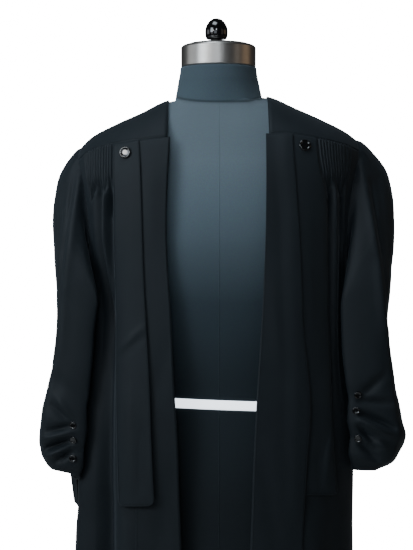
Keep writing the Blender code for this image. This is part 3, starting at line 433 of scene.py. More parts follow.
def front_base(side, s, t):
    """A front without its tucks and folds: s across from the opening, t down to the hem."""
    top_x = zone_x(side, s, FRONT_SEAM_Z)
    top_x = np.where(s > 2, top_x + (ARM_X[side] - top_x) * (s - 2), top_x)
    seam_y = read(SHOULDER, "front_y", side * top_x)
    seam_z = read(SHOULDER, "front_z", side * top_x)
    z = seam_z - SEAM_DROP - (seam_z - HEM_Z) * t
    half, depth, roundness = section(side, FRONT, z)
    angle = np.arcsin(np.clip(zone_x(side, s, z) / half, 0, 1) ** (roundness / 2))
    last = even_share(side_angle(side, FRONT, z))
    beyond = even_share(angle) + (last - even_share(angle)) * (s - 2)
    angle = np.where(s > 2, even_angle(beyond), angle)
    x, y = hang((top_x, seam_y, seam_z), z, (half, -depth, roundness), angle)
    return np.stack((side * x, y, z), axis=-1)


def back_base(s, t):
    """The back without its gathers: s from -1 at the left to 1 at the right."""
    side = np.where(s < 0, LEFT, RIGHT)
    top_x = np.where(s < 0, ARM_X[LEFT], ARM_X[RIGHT]) * s
    seam_y = read(SHOULDER, "back_y", top_x)
    seam_z = read(SHOULDER, "back_z", top_x)
    z = seam_z - SEAM_DROP - (seam_z - HEM_Z) * t
    half, depth, roundness = section(side, BACK, z)
    last = even_share(side_angle(side, BACK, z))
    angle = even_angle(np.abs(s) * ARM_SHARE + (last - ARM_SHARE) * s ** 4)
    x, y = hang((top_x, seam_y, seam_z), z, (side * half, depth, roundness), angle)
    return np.stack((x, y, z), axis=-1)


def yoke_point(x, across):
    """A point of the yoke: across runs from the front seam at -1 over the shoulder to 1."""
    seam_y = np.where(across < 0, -read(SHOULDER, "front_y", x), read(SHOULDER, "back_y", x))
    seam_z = np.where(across < 0, read(SHOULDER, "front_z", x), read(SHOULDER, "back_z", x))
    ridge = read(SHOULDER, "ridge_z", x)
    power = np.where(across < 0, FRONT_FALL, BACK_FALL)
    z = ridge - (ridge - seam_z) * np.abs(across) ** power
    return np.stack((x + 0 * across, seam_y * across, z), axis=-1)


# %% [markdown]
# ## Creases set one by one
# Suiting falls in soft troughs and ridges that start at a seam, a tuck or a button and die out. Each is
# a short line with its own width and depth, as uneven as on the real gown. A faint slow ripple keeps the
# stretches between them from looking pressed flat.

# %% Crease lines
CREASE_COLUMNS = "x0 z0 x1 z1 width depth"
FRONT_CREASES = {
    LEFT: [
        (0.1960, 1.3530, 0.1885, 1.3215, 0.0034, -0.0050),
        (0.1790, 1.3440, 0.1878, 1.3215, 0.0030, -0.0048),
        (0.1740, 1.3480, 0.1760, 1.3230, 0.0020, -0.0034),
        (0.1690, 1.3480, 0.1700, 1.3080, 0.0020, -0.0036),
        (0.1625, 1.3480, 0.1640, 1.3300, 0.0018, -0.0026),
        (0.1580, 1.3480, 0.1575, 1.2950, 0.0026, -0.0036),
        (0.0990, 1.3700, 0.0930, 1.2500, 0.0120, 0.0010),
        (0.0700, 1.1200, 0.0880, 1.0300, 0.0100, -0.0012),
        (0.1880, 1.2100, 0.1780, 1.0600, 0.0090, -0.0022),
        (0.1780, 1.0200, 0.1880, 0.8600, 0.0100, 0.0024),
        (0.0620, 0.9400, 0.0900, 0.7800, 0.0140, -0.0014),
        (0.1350, 0.8400, 0.1250, 0.4200, 0.0180, 0.0040),
        (0.1700, 0.8800, 0.1600, 0.3500, 0.0130, -0.0040),
    ],
    RIGHT: [
        (0.2020, 1.3650, 0.1912, 1.3165, 0.0036, -0.0048),
        (0.1748, 1.3540, 0.1905, 1.3165, 0.0034, -0.0042),
        (0.1610, 1.3540, 0.1660, 1.3180, 0.0024, -0.0034),
        (0.1700, 1.3480, 0.1668, 1.3120, 0.0024, -0.0030),
        (0.1910, 1.3150, 0.1935, 1.2400, 0.0050, -0.0022),
        (0.1800, 1.3400, 0.1840, 1.2700, 0.0032, -0.0022),
        (0.1690, 1.3500, 0.1715, 1.2600, 0.0034, -0.0022),
        (0.0980, 1.3600, 0.0960, 1.2300, 0.0130, -0.0010),
        (0.0800, 1.2000, 0.0900, 1.0800, 0.0110, 0.0010),
        (0.1780, 1.2200, 0.1840, 1.0500, 0.0090, -0.0022),
        (0.1860, 1.0200, 0.1780, 0.8800, 0.0090, 0.0022),
        (0.0640, 0.9600, 0.0880, 0.8000, 0.0140, -0.0014),
        (0.1380, 0.8400, 0.1280, 0.4200, 0.0180, 0.0040),
        (0.1720, 0.8800, 0.1620, 0.3500, 0.0130, -0.0040),
    ],
}


def crease_relief(rows, x, z):
    """Sum of soft troughs (minus) and ridges (plus) along their lines, fading at both ends."""
    relief = np.zeros(np.broadcast(x, z).shape)
    for line in named(CREASE_COLUMNS, rows):
        run_x = line["x1"] - line["x0"]
        run_z = line["z1"] - line["z0"]
        along = ((x - line["x0"]) * run_x + (z - line["z0"]) * run_z) / (run_x ** 2 + run_z ** 2)
        along = np.clip(along, 0, 1)
        miss = np.hypot(x - line["x0"] - along * run_x, z - line["z0"] - along * run_z)
        ends = np.sin(math.pi * (0.12 + 0.76 * along)) ** 0.8
        relief = relief + line["depth"] * ends * np.exp(-(miss / line["width"]) ** 2)
    return relief


def ripple(x, z, size=0.0005):
    """A faint slow unevenness of hanging cloth."""
    first = np.sin(31 * x + 9 * z + 0.6) * np.sin(13 * z - 17 * x + 1.9)
    second = np.sin(57 * x - 6 * z + 2.7) * np.sin(21 * z + 11 * x + 0.4)
    return size * (first + 0.6 * second)


# %% Tucks and folds of a front
TUCK_RISE = 0.0025
TUCK_UNEVEN = np.array([0.95, 1.06, 0.90, 1.04, 0.93, 1.08, 0.94, 1.00, 0.92, 0.84, 0.80, 0.76])

# Past the solid's tucks shallower ones go on, this wide in s, and die out before the armhole
SIDE_TUCK = 0.19
SIDE_TUCKS_END = (2.42, 2.54)

# Creases set in at these drops below the yoke seam; with the folds they fade towards the side seam
CREASES_START = (0.035, 0.065)
RELIEF_END = (2.25, 2.6)
RELIEF_LOST = 0.85


def front_relief(side, s, t):
    """How far tucks, folds and creases stand out from a front."""
    z = front_base(side, s, t)[..., 2]
    drop = t * (FRONT_SEAM_Z - HEM_Z)
    place = zone_x(side, s, z) + SIDE_STRETCH * np.maximum(s - 2, 0)
    count = TUCKS * (np.minimum(s, 2) - 1) + np.maximum(s - 2, 0) / SIDE_TUCK
    number = np.clip(np.floor(count), 0, len(TUCK_UNEVEN) - 1).astype(int)
    wave = np.abs(np.sin(math.pi * count)) ** 0.5 * (1 - ease(s, *SIDE_TUCKS_END))
    release = TUCK_UNEVEN[number]
    held = 1 - ease(drop, TUCK_END * release, TUCK_RELEASE * release)
    tucks = np.where(s > 1, TUCK_RISE * wave * held, 0)
    relief = crease_relief(FRONT_CREASES[side], place, z) + ripple(side * place, z)
    relief = relief * ease(drop, *CREASES_START)
    for fold in [fold for fold in FOLDS if fold["side"] == side]:
        middle = fold["top_x"] + (fold["low_x"] - fold["top_x"]) * ease(z, FOLD_TOP_Z, HEM_Z)
        grown = 1 - ease(z, fold["full_z"], fold["full_z"] + fold["build"])
        grown = grown * ease(z, fold["end_z"], fold["end_z"] + FOLD_FADE)
        relief = relief + fold["depth"] * grown * np.exp(-((place - middle) / fold["width"]) ** 2)
    return tucks + relief * (1 - RELIEF_LOST * ease(s, *RELIEF_END))


def front_point(side, s, t, out=0.0):
    """A point of a front's outer face, moved out by a distance."""
    normal = outward(partial(front_base, side), s, t)
    return front_base(side, s, t) + normal * (front_relief(side, s, t) + out)[..., None]


def front_at(side, x, t, out):
    """The front's point at a distance from the middle, moved out."""
    s = np.full(np.shape(x), 0.5)
    for _ in range(4):
        z = front_base(side, s, t)[..., 2]
        start = zone_x(side, np.ones_like(s), z)
        edge = zone_x(side, np.zeros_like(s), z)
        s = (x - edge) / (start - edge)
    return front_point(side, s, t, out)


def front_height(side, t):
    """The height of a front's row, in its plain stretch."""
    return front_base(side, np.full(np.shape(t), 0.5), t)[..., 2]


# %% Gathers of the back
PLEATS = 12
PLEAT_DEPTH = table("drop depth", [(0, 0.0015), (0.10, 0.0045), (0.30, 0.0065), (1.01, 0.0095)])
FINE_GATHERS = 84
FINE_DEPTH = 0.0008
BACK_FADE = (0.72, 0.95)


def back_point(s, t):
    """The back's outer face: twelve long folds, and fine gathers that die out below the yoke."""
    drop = t * (BACK_SEAM_Z - HEM_Z)
    fade = 1 - ease(np.abs(s), *BACK_FADE)
    sway = s + 0.010 * np.sin(5 * drop + 9 * s) * ease(drop, 0.05, 0.4)
    relief = read(PLEAT_DEPTH, "depth", drop) * fade * np.cos(math.pi * PLEATS * sway)
    fine = np.sin(FINE_GATHERS * math.pi * s + 2.0 * np.sin(7 * s)) * (1 - ease(drop, 0.03, 0.13))
    relief = relief + FINE_DEPTH * fine * fade
    base = back_base(s, t)
    relief = relief + ripple(base[..., 0], base[..., 2]) * ease(drop, 0.02, 0.1)
    return base + outward(back_base, s, t) * relief[..., None]


# %% [markdown]
# ## Sleeves
# A full sleeve starts at the armhole, which is wherever the finished yoke, front and back end. So the
# armhole is measured from those panels, and the sleeve's first ring is tucked just inside it. Lower down
# a sleeve leans on the body: where it would stand clear, it is pressed back until it rests there.

# %% Armholes and sleeve shape
def armhole(side):
    """The armhole's edge, as angles round its middle and the points there."""
    top = yoke_point(np.full(120, side * ARM_X[side]), np.linspace(-1, 1, 120))
    front = front_point(side, np.full(240, 3.0), np.linspace(0, 0.2, 240))
    back = back_point(np.full(240, float(side)), np.linspace(0, 0.2, 240))
    edge = np.concatenate((top, front, back))
    middle = (ARM_TOP_Z[side] + UNDERARM_Z[side]) / 2
    edge = edge[edge[:, 2] > UNDERARM_Z[side] - 0.001]
    angle = np.arctan2(-edge[:, 1], edge[:, 2] - middle) % (2 * math.pi)
    order = np.argsort(angle)
    return angle[order], edge[order]


ARMHOLES = {side: armhole(side) for side in (LEFT, RIGHT)}
print("armhole points:", {SIDE_NAME[side]: len(ARMHOLES[side][0]) for side in ARMHOLES})


def body_side(side, y, z):
    """How far the body's side lies from the middle at a depth and a height."""
    half, depth, roundness = section(side, FRONT, z)
    return half * (1 - np.clip(np.abs(y) / depth, 0, 0.98) ** roundness) ** (1 / roundness)


def sleeve_base(side, u, v):
    """A sleeve without its creases: u round it from the outer side over the front, v down it."""
    size = {name: read(SLEEVE[side], name, v) for name in SLEEVE_COLUMNS.split()[1:]}
    out = rounded(np.cos(u), size["roundness"])
    fore = rounded(np.sin(u), size["roundness"])
    turned = (1 + out + size["turn"] * np.maximum(fore, 0) ** 2) / 2
    x = size["inner_x"] + (size["outer_x"] - size["inner_x"]) * turned
    y = -np.where(fore > 0, size["front"], size["back"]) * fore
    z = size["inner_z"] + (size["outer_z"] - size["inner_z"]) * turned
    around = np.mod(u, 2 * math.pi)
    pressed = ease(around, *LEAN[side]) * (1 - ease(around, *LEAN_END)) * ease(v, 0, LEAN_SHARE)
    rest = body_side(side, y, z) + read(SLEEVE_REST, SIDE_NAME[side], v)
    x = x - np.maximum(x - rest, 0) * pressed
    behind = ease(around, *TAIL_START) * (1 - ease(around, *TAIL_END))
    z = z - SLEEVE_TAIL[side] * behind * ease(v, TAIL_SHARE, 1)
    angles, edge = ARMHOLES[side]
    rim_x, rim_y, rim_z = [np.interp(around, angles, values, period=2 * math.pi) for values in edge.T]
    held = 1 - ease(v, 0, HEAD_SHARE)
    x = x + (np.abs(rim_x) - HEAD_TUCKED + HEAD_STEP * v - x) * held
    y = y + (rim_y - y) * held
    z = z + (rim_z - z) * held
    return np.stack((side * x, y, z), axis=-1)


# %% Creases of the sleeves
SLEEVE_CREASES = {
    LEFT: [
        (0.2040, 1.3700, 0.2120, 1.2975, 0.0080, 0.0032),
        (0.2120, 1.2975, 0.2254, 1.1874, 0.0085, 0.0034),
        (0.2254, 1.1874, 0.2298, 1.0993, 0.0085, 0.0026),
        (0.2110, 1.3600, 0.2195, 1.2950, 0.0045, -0.0042),
        (0.2195, 1.2950, 0.2335, 1.1850, 0.0050, -0.0040),
        (0.2300, 1.3400, 0.2380, 1.2500, 0.0080, -0.0036),
        (0.2122, 0.9876, 0.2460, 0.9800, 0.0050, -0.0076),
        (0.2152, 0.9790, 0.2520, 0.9690, 0.0046, 0.0058),
        (0.2150, 0.9660, 0.2540, 0.9535, 0.0048, -0.0112),
        (0.2200, 0.9560, 0.2500, 0.9430, 0.0044, 0.0068),
        (0.2160, 0.9470, 0.2370, 0.9340, 0.0040, -0.0080),
        (0.2150, 0.9920, 0.2420, 1.0170, 0.0055, -0.0046),
        (0.2160, 1.0020, 0.2380, 1.0330, 0.0050, 0.0024),
        (0.2300, 1.0700, 0.2420, 1.0200, 0.0090, -0.0018),
    ],
    RIGHT: [
        (0.2122, 1.3856, 0.2225, 1.3342, 0.0075, 0.0034),
        (0.2225, 1.3342, 0.2372, 1.2461, 0.0075, 0.0036),
        (0.2372, 1.2461, 0.2475, 1.1286, 0.0080, 0.0030),
        (0.2300, 1.3450, 0.2452, 1.2450, 0.0050, -0.0048),
        (0.2452, 1.2450, 0.2552, 1.1350, 0.0045, -0.0034),
        (0.2420, 1.3500, 0.2560, 1.2200, 0.0100, -0.0044),
        (0.2100, 1.0250, 0.2590, 1.0214, 0.0048, -0.0074),
        (0.2140, 1.0060, 0.2610, 0.9847, 0.0050, -0.0112),
        (0.2107, 0.9960, 0.2560, 0.9740, 0.0046, 0.0068),
        (0.2107, 0.9860, 0.2360, 0.9570, 0.0048, -0.0106),
        (0.2140, 0.9700, 0.2500, 0.9560, 0.0046, 0.0060),
        (0.2120, 0.9600, 0.2360, 0.9380, 0.0044, -0.0080),
        (0.2150, 1.0340, 0.2450, 1.0600, 0.0065, -0.0050),
        (0.2480, 1.1000, 0.2560, 1.0400, 0.0090, -0.0018),
    ],
}
HEAD_GATHERS = 46
HEAD_PUCKER = 0.0003
SLEEVE_RIPPLE = 0.0006

# Behind, a sleeve has the other one's creases, shallower and a little shifted
BEHIND_SHARE = 0.8
BEHIND_SHIFT = (0.004, 0.006)


def sleeve_point(side, u, v):
    """A point of a sleeve's outer face, with its gathers and creases."""
    step = 0.004
    along = sleeve_base(side, u + step, v) - sleeve_base(side, u - step, v)
    low, high = [sleeve_base(side, u, np.clip(v + shift, 0, 1)) for shift in (step, -step)]
    normal = unit(np.cross(along, low - high)) * side
    base = sleeve_base(side, u, v)
    x = np.abs(base[..., 0])
    z = base[..., 2]
    front = np.clip(1.6 * np.sin(u), 0, 1)
    behind = np.clip(-1.6 * np.sin(u), 0, 1)
    relief = crease_relief(SLEEVE_CREASES[side], x, z) * front
    others = crease_relief(SLEEVE_CREASES[-side], x + BEHIND_SHIFT[0], z + BEHIND_SHIFT[1])
    relief = relief + BEHIND_SHARE * others * behind
    for ruche in [ruche for ruche in RUCHES if ruche["side"] == side]:
        middle = ruche["along"] + ruche["slope"] * (RUCHE_AIM - u)
        relief = relief + ruche["depth"] * front * np.exp(-((v - middle) / RUCHE_WIDTH) ** 2)
    gathers = np.sin(HEAD_GATHERS * u + 1.5 * np.sin(3 * u)) * np.clip(np.cos(u) + 0.45, 0, 1)
    relief = relief + HEAD_PUCKER * gathers * ease(v, 0.0, 0.02) * (1 - ease(v, 0.02, 0.09))
    relief = relief + ripple(3 * base[..., 1], z, SLEEVE_RIPPLE) * ease(v, 0.05, 0.2)
    return base + normal * relief[..., None]


# %% [markdown]
# ## Cloth from a grid
# A grid primitive is carried point by point to a panel's surface. Its texture coordinates are the real
# distances across and down the cloth in millimetres, so every weave keeps its true scale. Solidify then
# gives the sheet its thickness, inwards from the face that shows.

# %% Grid carried to a surface
def finer(values, parts):
    """Splits each step of a list into equal parts, keeping the list's own values."""
    steps = np.arange((len(values) - 1) * parts + 1) / parts
    return np.interp(steps, np.arange(len(values)), values)


def lay_cloth(name, across, down, place, turn_over=False, cut=None, weld=False, thick=SHEET):
    """A sheet over the shares across and down, with real distances as its texture coordinates."""
    across = np.array(across, float)
    down = np.array(down, float)
    grid = bmesh.new()
    bmesh.ops.create_grid(grid, x_segments=len(across) - 1, y_segments=len(down) - 1, size=0.5)
    sewn = bpy.data.meshes.new(name)
    grid.to_mesh(sewn)
    grid.free()
    flat = np.empty(len(sewn.vertices) * 3)
    sewn.vertices.foreach_get("co", flat)
    column = np.rint((flat[0::3] + 0.5) * (len(across) - 1)).astype(int)
    row = np.rint((flat[1::3] + 0.5) * (len(down) - 1)).astype(int)
    points = place(across[column], down[row])
    sewn.vertices.foreach_set("co", points.ravel())
    lattice = np.empty((len(down), len(across), 3))
    lattice[row, column] = points
    steps_across = np.linalg.norm(np.diff(lattice, axis=1), axis=2)
    steps_down = np.linalg.norm(np.diff(lattice, axis=0), axis=2).mean(axis=1)
    from_left = np.concatenate((np.zeros((len(down), 1)), np.cumsum(steps_across, axis=1)), axis=1)
    from_left -= from_left[:, -1:] / 2
    from_top = np.concatenate(([0], np.cumsum(steps_down)))
    layer = sewn.uv_layers.new(name="cloth_mm")
    corner = np.empty(len(sewn.loops), dtype=int)
    sewn.loops.foreach_get("vertex_index", corner)
    uv = np.stack((from_left[row[corner], column[corner]], -from_top[row[corner]]), axis=1) * 1000
    layer.data.foreach_set("uv", uv.ravel())
    work = bmesh.new()
    work.from_mesh(sewn)
    if cut is not None:
        corners = {face: [point.index for point in face.verts] for face in work.faces}
        gone = [face for face, ring in corners.items()
                if cut(across[column[ring]].mean(), down[row[ring]].mean())]
        bmesh.ops.delete(work, geom=gone, context="FACES")
    if weld:
        bmesh.ops.remove_doubles(work, verts=work.verts, dist=0.00001)
    if turn_over:
        bmesh.ops.reverse_faces(work, faces=work.faces)
    work.to_mesh(sewn)
    work.free()
    sewn.shade_smooth()
    piece = put_in_scene(name, sewn)
    wall = piece.modifiers.new("thickness", "SOLIDIFY")
    wall.thickness = thick
    wall.offset = -1
    area = sum(face.area for face in sewn.polygons)
    print(f"{name}: {len(sewn.polygons)} faces, {area:.4f} m2, {from_left[:, -1].max() * 2:.3f} m wide, "
          f"{from_top[-1]:.3f} m long")
    return piece


# %% [markdown]
# ## Colours and one node helper
# Colours are picked as sRGB hex values and turned to linear light by one function. One more function
# adds any shader node with its settings and links, and the small ones after it serve several materials.

# %% Colour and node helpers
def linear(code):
    """Linear RGBA from an sRGB hex value."""
    shares = [int(code[i:i + 2], 16) / 255 for i in (1, 3, 5)]
    return [share / 12.92 if share <= 0.04045 else ((share + 0.055) / 1.055) ** 2.4
            for share in shares] + [1]


def add_node(tree, kind, settings=(), links=()):
    """Adds a node: settings are (property or input, value) pairs, links are (input, output) pairs."""
    node = tree.nodes.new(kind)
    for name, value in settings:
        if isinstance(name, str) and hasattr(node, name):
            setattr(node, name, value)
        else:
            node.inputs[name].default_value = value
    for name, output in links:
        tree.links.new(output, node.inputs[name])
    return node


def new_material(name, settings):
    """A Principled material with its typical values set on the shader itself."""
    made = bpy.data.materials.new(name)
    made.use_nodes = True
    shader = made.node_tree.nodes["Principled BSDF"]
    for socket, value in settings:
        shader.inputs[socket].default_value = value
    made.diffuse_color = shader.inputs["Base Color"].default_value
    return made, made.node_tree, shader


def add_noise(tree, place, scale, detail):
    """Soft random specks; the scale is how many lie along one unit of the place."""
    return add_node(tree, "ShaderNodeTexNoise", [("Scale", scale), ("Detail", detail)],
                    [("Vector", place)])


def add_bands(tree, place, direction, pitch, settings):
    """Even bands this many millimetres apart."""
    return add_node(tree, "ShaderNodeTexWave", [
        ("wave_type", "BANDS"), ("bands_direction", direction), ("Scale", 0.314 / pitch),
    ] + settings, [("Vector", place)])


def speckle(tree, shader, specks, shade, colour):
    """Lets the base colour drift between two near ones."""
    colours = add_node(tree, "ShaderNodeMix", [
        ("data_type", "RGBA"), (6, linear(shade)), (7, linear(colour)),
    ], [(0, specks.outputs["Fac"])])
    tree.links.new(colours.outputs[2], shader.inputs["Base Color"])


def add_relief(tree, shader, height, strength, distance):
    """Lets a height shade the surface as fine relief."""
    bump = add_node(tree, "ShaderNodeBump", [("Strength", strength), ("Distance", distance)],
                    [("Height", height)])
    tree.links.new(bump.outputs["Normal"], shader.inputs["Normal"])


# %% [markdown]
# ## Black suiting
# Advocates' gowns are a polyester and viscose suiting, dyed black in the piece and pressed smooth. Black
# dye is never quite neutral: it looks slightly cool where light grazes it. The eye gets three things: a
# very dark colour, a broad soft sheen on turned folds, and a hardly visible twill. Real twill lines lie
# 0.4 mm apart; they are drawn 1.1 mm apart here, because finer ones would vanish in the picture.

# %% Suiting material
TWILL_MM = 1.1


def suiting_material(name, colour, shade):
    """Black twill: fine diagonal lines, uneven dye and a soft sheen."""
    cloth, tree, shader = new_material(name, [
        ("Base Color", linear(colour)), ("Roughness", 0.62), ("IOR", 1.46),
        ("Specular IOR Level", 0.30), ("Sheen Weight", 0.10), ("Sheen Roughness", 0.45),
        ("Sheen Tint", linear("#cfdbe6")),
    ])
    place = add_node(tree, "ShaderNodeUVMap", [("uv_map", "cloth_mm")]).outputs["UV"]
    lines = add_bands(tree, place, "DIAGONAL", TWILL_MM * math.sqrt(2), [
        ("Distortion", 0.6), ("Detail", 1.0), ("Detail Scale", 0.5)])
    slub = add_noise(tree, place, 0.35, 3.0)
    speckle(tree, shader, add_noise(tree, place, 0.018, 2.0), shade, colour)
    height = add_node(tree, "ShaderNodeMath", [("operation", "MULTIPLY_ADD"), (1, 0.6)],
                      [(0, slub.outputs["Fac"]), (2, lines.outputs["Fac"])])
    add_relief(tree, shader, height.outputs[0], 0.12, 0.0003)
    return cloth


SUITING = suiting_material("black_suiting", "#1c2429", "#161d22")
print("suiting twill lines every", TWILL_MM, "mm")

# %% [markdown]
# ## Laying the panels
# The yoke runs in one piece from seam to seam over both shoulders, with the neck cut out of it. Fronts
# are tucked under the yoke and folded in from there. The back is gathered. Fine sampling goes where the
# form turns quickly: close under the seams and across the tucks.

# %% Yoke
YOKE_COLUMNS = [-0.2065, -0.199, -0.188, -0.172, -0.148, -0.122, -0.097, -0.0722, -0.061, -0.045,
                -0.015, 0.015, 0.045, 0.063, 0.076, 0.100, 0.125, 0.150, 0.173, 0.191, 0.204, 0.2125]
YOKE_ROWS = [-1, -0.85, -0.68, -0.50, -0.30, -0.10, 0.10, 0.28, 0.45, 0.60, 0.74, 0.88, 1]

# The neck opening: its edge behind, how far that dips in the middle, and its half width and ends
NECK_ROW = 0.28
NECK_DIP = 0.27
NECK_HALF = 0.074
NECK_LEFT = -0.0722
NECK_RIGHT = 0.076


def yoke_place(x, row):
    """Yoke points, with the rows behind the neck squeezed to make room for the neckline."""
    dip = NECK_ROW + NECK_DIP * np.clip(1 - (x / NECK_HALF) ** 2, 0, 1)
    squeezed = dip + (row - NECK_ROW) / (1 - NECK_ROW) * (1 - dip)
    return yoke_point(x, np.where(row >= NECK_ROW, squeezed, row))


def in_neck(x, row):
    """True for the faces that the neck opening takes away."""
    return NECK_LEFT < x < NECK_RIGHT and row < NECK_ROW


yoke = lay_cloth("yoke_cloth", finer(YOKE_COLUMNS, 4), finer(YOKE_ROWS, 6), yoke_place, cut=in_neck)

# %% Fronts
FRONT_COLUMNS = spread((0, 1, 33), (1, 2, 10 * TUCKS + 1), (2, 2.56, 43), (2.56, 3, 17))
FRONT_ROWS = spread((0, 0.16, 65), (0.16, 0.55, 70), (0.55, 1, 46))
fronts = {}
for side, name in SIDE_NAME.items():
    fronts[side] = lay_cloth("front_cloth_" + name, FRONT_COLUMNS, FRONT_ROWS,
                             partial(front_point, side), side == RIGHT)

# %% Back
BACK_ROWS = spread((0, 0.14, 46), (0.14, 1, 90))
back = lay_cloth("back_cloth", np.linspace(-1, 1, 265), BACK_ROWS, back_point)

# %% Sleeves
AROUND = np.linspace(0, 2 * math.pi, 193)
DOWN_SLEEVE = spread((0, 0.16, 26), (0.16, 0.7, 50), (0.7, 1, 66))
sleeves = {}
for side, name in SIDE_NAME.items():
    sleeves[side] = lay_cloth("sleeve_cloth_" + name, AROUND, DOWN_SLEEVE,
                              partial(sleeve_point, side), side == LEFT, weld=True)

# %% [markdown]
# ## Bands and hanging flaps
# A doubled band finishes each opening edge, and a flap hangs free from each yoke seam under one button.
# They lie on the front, so each point is found on the front and moved out by the layers below it. The
# right band laps over its flap, and the left flap hangs over its band.

# %% Bands
BAND_COLUMNS = [0, 0.35, 0.65, 0.82, 1]
BAND_ROWS = spread((0, 0.16, 50), (0.16, 1, 110))
SETTLED = 0.0004
SETTLED_OVER = 0.01


def settled(t, out):
    """Lets a lying piece come down to the cloth just under the yoke seam."""
    return out - SETTLED * (1 - ease(t, 0, SETTLED_OVER))


def lapped(k, edge, outer, flap_edge):
    """Columns of the right band, drawn together where it rises over the flap's inner edge."""
    before, after = BAND_COLUMNS[2:4]
    foot = flap_edge - LAP_FOOT
    crest = flap_edge - LAP_CREST
    inner = edge + (foot - edge) * k / before
    rising = foot + (crest - foot) * (k - before) / (after - before)
    rest = crest + (outer - crest) * (k - after) / (1 - after)
    return np.where(k < before, inner, np.where(k <= after, rising, rest))


def band_point(side, k, t):
    """A band's point: k across from its opening edge (0) to its outer edge (1), t down it."""
    z = front_height(side, t)
    edge = read(EDGE, SIDE_NAME[side], z)
    outer = read(BAND_OUTER, SIDE_NAME[side], z)
    x = edge + (outer - edge) * k
    out = np.full(np.shape(k), LAYER)
    if side == RIGHT:
        flap_edge = np.minimum(read(FLAP, "inner_right", z), outer - LAP_CREST)
        x = lapped(k, edge, outer, flap_edge)
        raised = LAYER * ease(z, FLAP_END_Z[side] - LAP_END_DROP, FLAP_END_Z[side])
        out = out + raised * ease(x, flap_edge - LAP_FOOT, flap_edge - LAP_CREST)
    return front_at(side, x, t, settled(t, out))


bands = {}
for side, name in SIDE_NAME.items():
    bands[side] = lay_cloth("band_cloth_" + name, finer(BAND_COLUMNS, 7), BAND_ROWS,
                            partial(band_point, side), side == RIGHT)

# %% Flaps
FLAP_CREASES = {
    LEFT: [
        (0.1425, 1.1010, 0.1060, 1.1345, 0.0050, 0.0016),
        (0.1400, 1.0880, 0.1080, 1.1180, 0.0045, -0.0014),
        (0.1060, 0.9900, 0.1100, 0.9000, 0.0060, -0.0012),
        (0.1280, 1.0400, 0.1240, 0.9000, 0.0090, 0.0012),
    ],
    RIGHT: [
        (0.1640, 0.9900, 0.1500, 0.9350, 0.0050, -0.0014),
        (0.1660, 0.9700, 0.1600, 0.9050, 0.0060, 0.0016),
        (0.1450, 1.2800, 0.1500, 1.1500, 0.0060, -0.0008),
    ],
}
FLAP_ROUND = {LEFT: 0.010, RIGHT: 0.006}
FLAP_WIDTH = 0.05

# A crease sinks a flap by no more than this, so that it stays clear of the cloth below
FLAP_SINK = 0.0004


def flap_base(side, k, t):
    """A flap without its creases: k across from its inner edge (0) to its outer edge (1), t down."""
    z = front_height(side, t)
    inner = read(FLAP, "inner_" + SIDE_NAME[side], z)
    outer = read(FLAP, "outer_" + SIDE_NAME[side], z)
    x = inner + (outer - inner) * k
    lift = FLAP_LIFT[side] * ease(z, FLAP_LIFT_Z, FLAP_END_Z[side])
    if side == LEFT:
        extra = FLAP_EXTRA["inner"] + (FLAP_EXTRA["outer"] - FLAP_EXTRA["inner"]) * k
        out = LAYER * (2 - ease(x, *OVER_BAND)) + extra + lift * (1 - 0.6 * k)
    else:
        out = LAYER + lift * ease(k, 0.5, 1)
    return front_at(side, x, t, settled(t, out))


def flap_point(side, k, share):
    """A flap with its creases and rounded lower corners; share runs from its seam to its end."""
    seam_z = front_height(side, np.zeros(1))[0]
    length = seam_z - FLAP_END_Z[side]
    near_end = np.clip(1 - (1 - share) * length / FLAP_ROUND[side], 0, 1)
    inset = FLAP_ROUND[side] / FLAP_WIDTH * (1 - np.sqrt(1 - near_end ** 2 * 0.999))
    drawn = 0.5 + (k - 0.5) * (1 - 2 * inset)
    points = flap_base(side, drawn, share * length / (seam_z - HEM_Z))
    out = crease_relief(FLAP_CREASES[side], np.abs(points[..., 0]), points[..., 2])
    points[..., 1] -= (np.maximum(out, -FLAP_SINK) + FLAP_SINK) * ease(share, 0.02, 0.1)
    return points


FLAP_ROWS = spread((0, 0.97, 130), (0.97, 1, 14))
flaps = {}
for side, name in SIDE_NAME.items():
    flaps[side] = lay_cloth("flap_cloth_" + name, np.linspace(0, 1, 29), FLAP_ROWS,
                            partial(flap_point, side), side == RIGHT)

# %% [markdown]
# ## The dress form
# The form is a padded shell covered in charcoal jersey, with the cover's centre seam and the seam at the
# foot of its neck. Its rings follow the same table as the solid, four times as fine.

# %% Form sizes
TORSO = table("z half front back roundness", [
    (0.750, 0.1600, 0.0960, 0.1040, 2.2),
    (0.757, 0.1660, 0.1010, 0.1090, 2.2),
    (0.830, 0.1720, 0.1040, 0.1130, 2.2),
    (0.920, 0.1640, 0.0990, 0.1070, 2.2),
    (0.992, 0.1480, 0.0925, 0.0930, 2.2),
    (1.045, 0.1460, 0.0930, 0.0900, 2.2),
    (1.120, 0.1580, 0.1030, 0.0960, 2.2),
    (1.200, 0.1720, 0.1130, 0.1040, 2.3),
    (1.270, 0.1800, 0.1165, 0.1090, 2.3),
    (1.335, 0.1860, 0.1110, 0.1110, 2.3),
])
SHOULDER_OUTLINE = {"half": 0.188, "front": 0.100, "back": 0.112, "roundness": 2.4}
NECK_BASE = {"half": 0.0665, "front": 0.060, "back": 0.058, "roundness": 2.0}
NECK_RISE = table("z radius", [(1.4930, 0.0645), (1.503, 0.0612), (1.513, 0.0592), (1.5235, 0.0578)])
NECK_FRONT_RISE = 0.010
FORM_X = 0.003
FORM_GAP = 0.0029


def form_ring(shape, angle):
    """Level outline of the form: angle 0 is its front."""
    across = rounded(np.sin(angle), shape["roundness"])
    fore = rounded(np.cos(angle), shape["roundness"])
    depth = np.where(fore > 0, shape["front"], shape["back"])
    return FORM_X + shape["half"] * across, -depth * fore


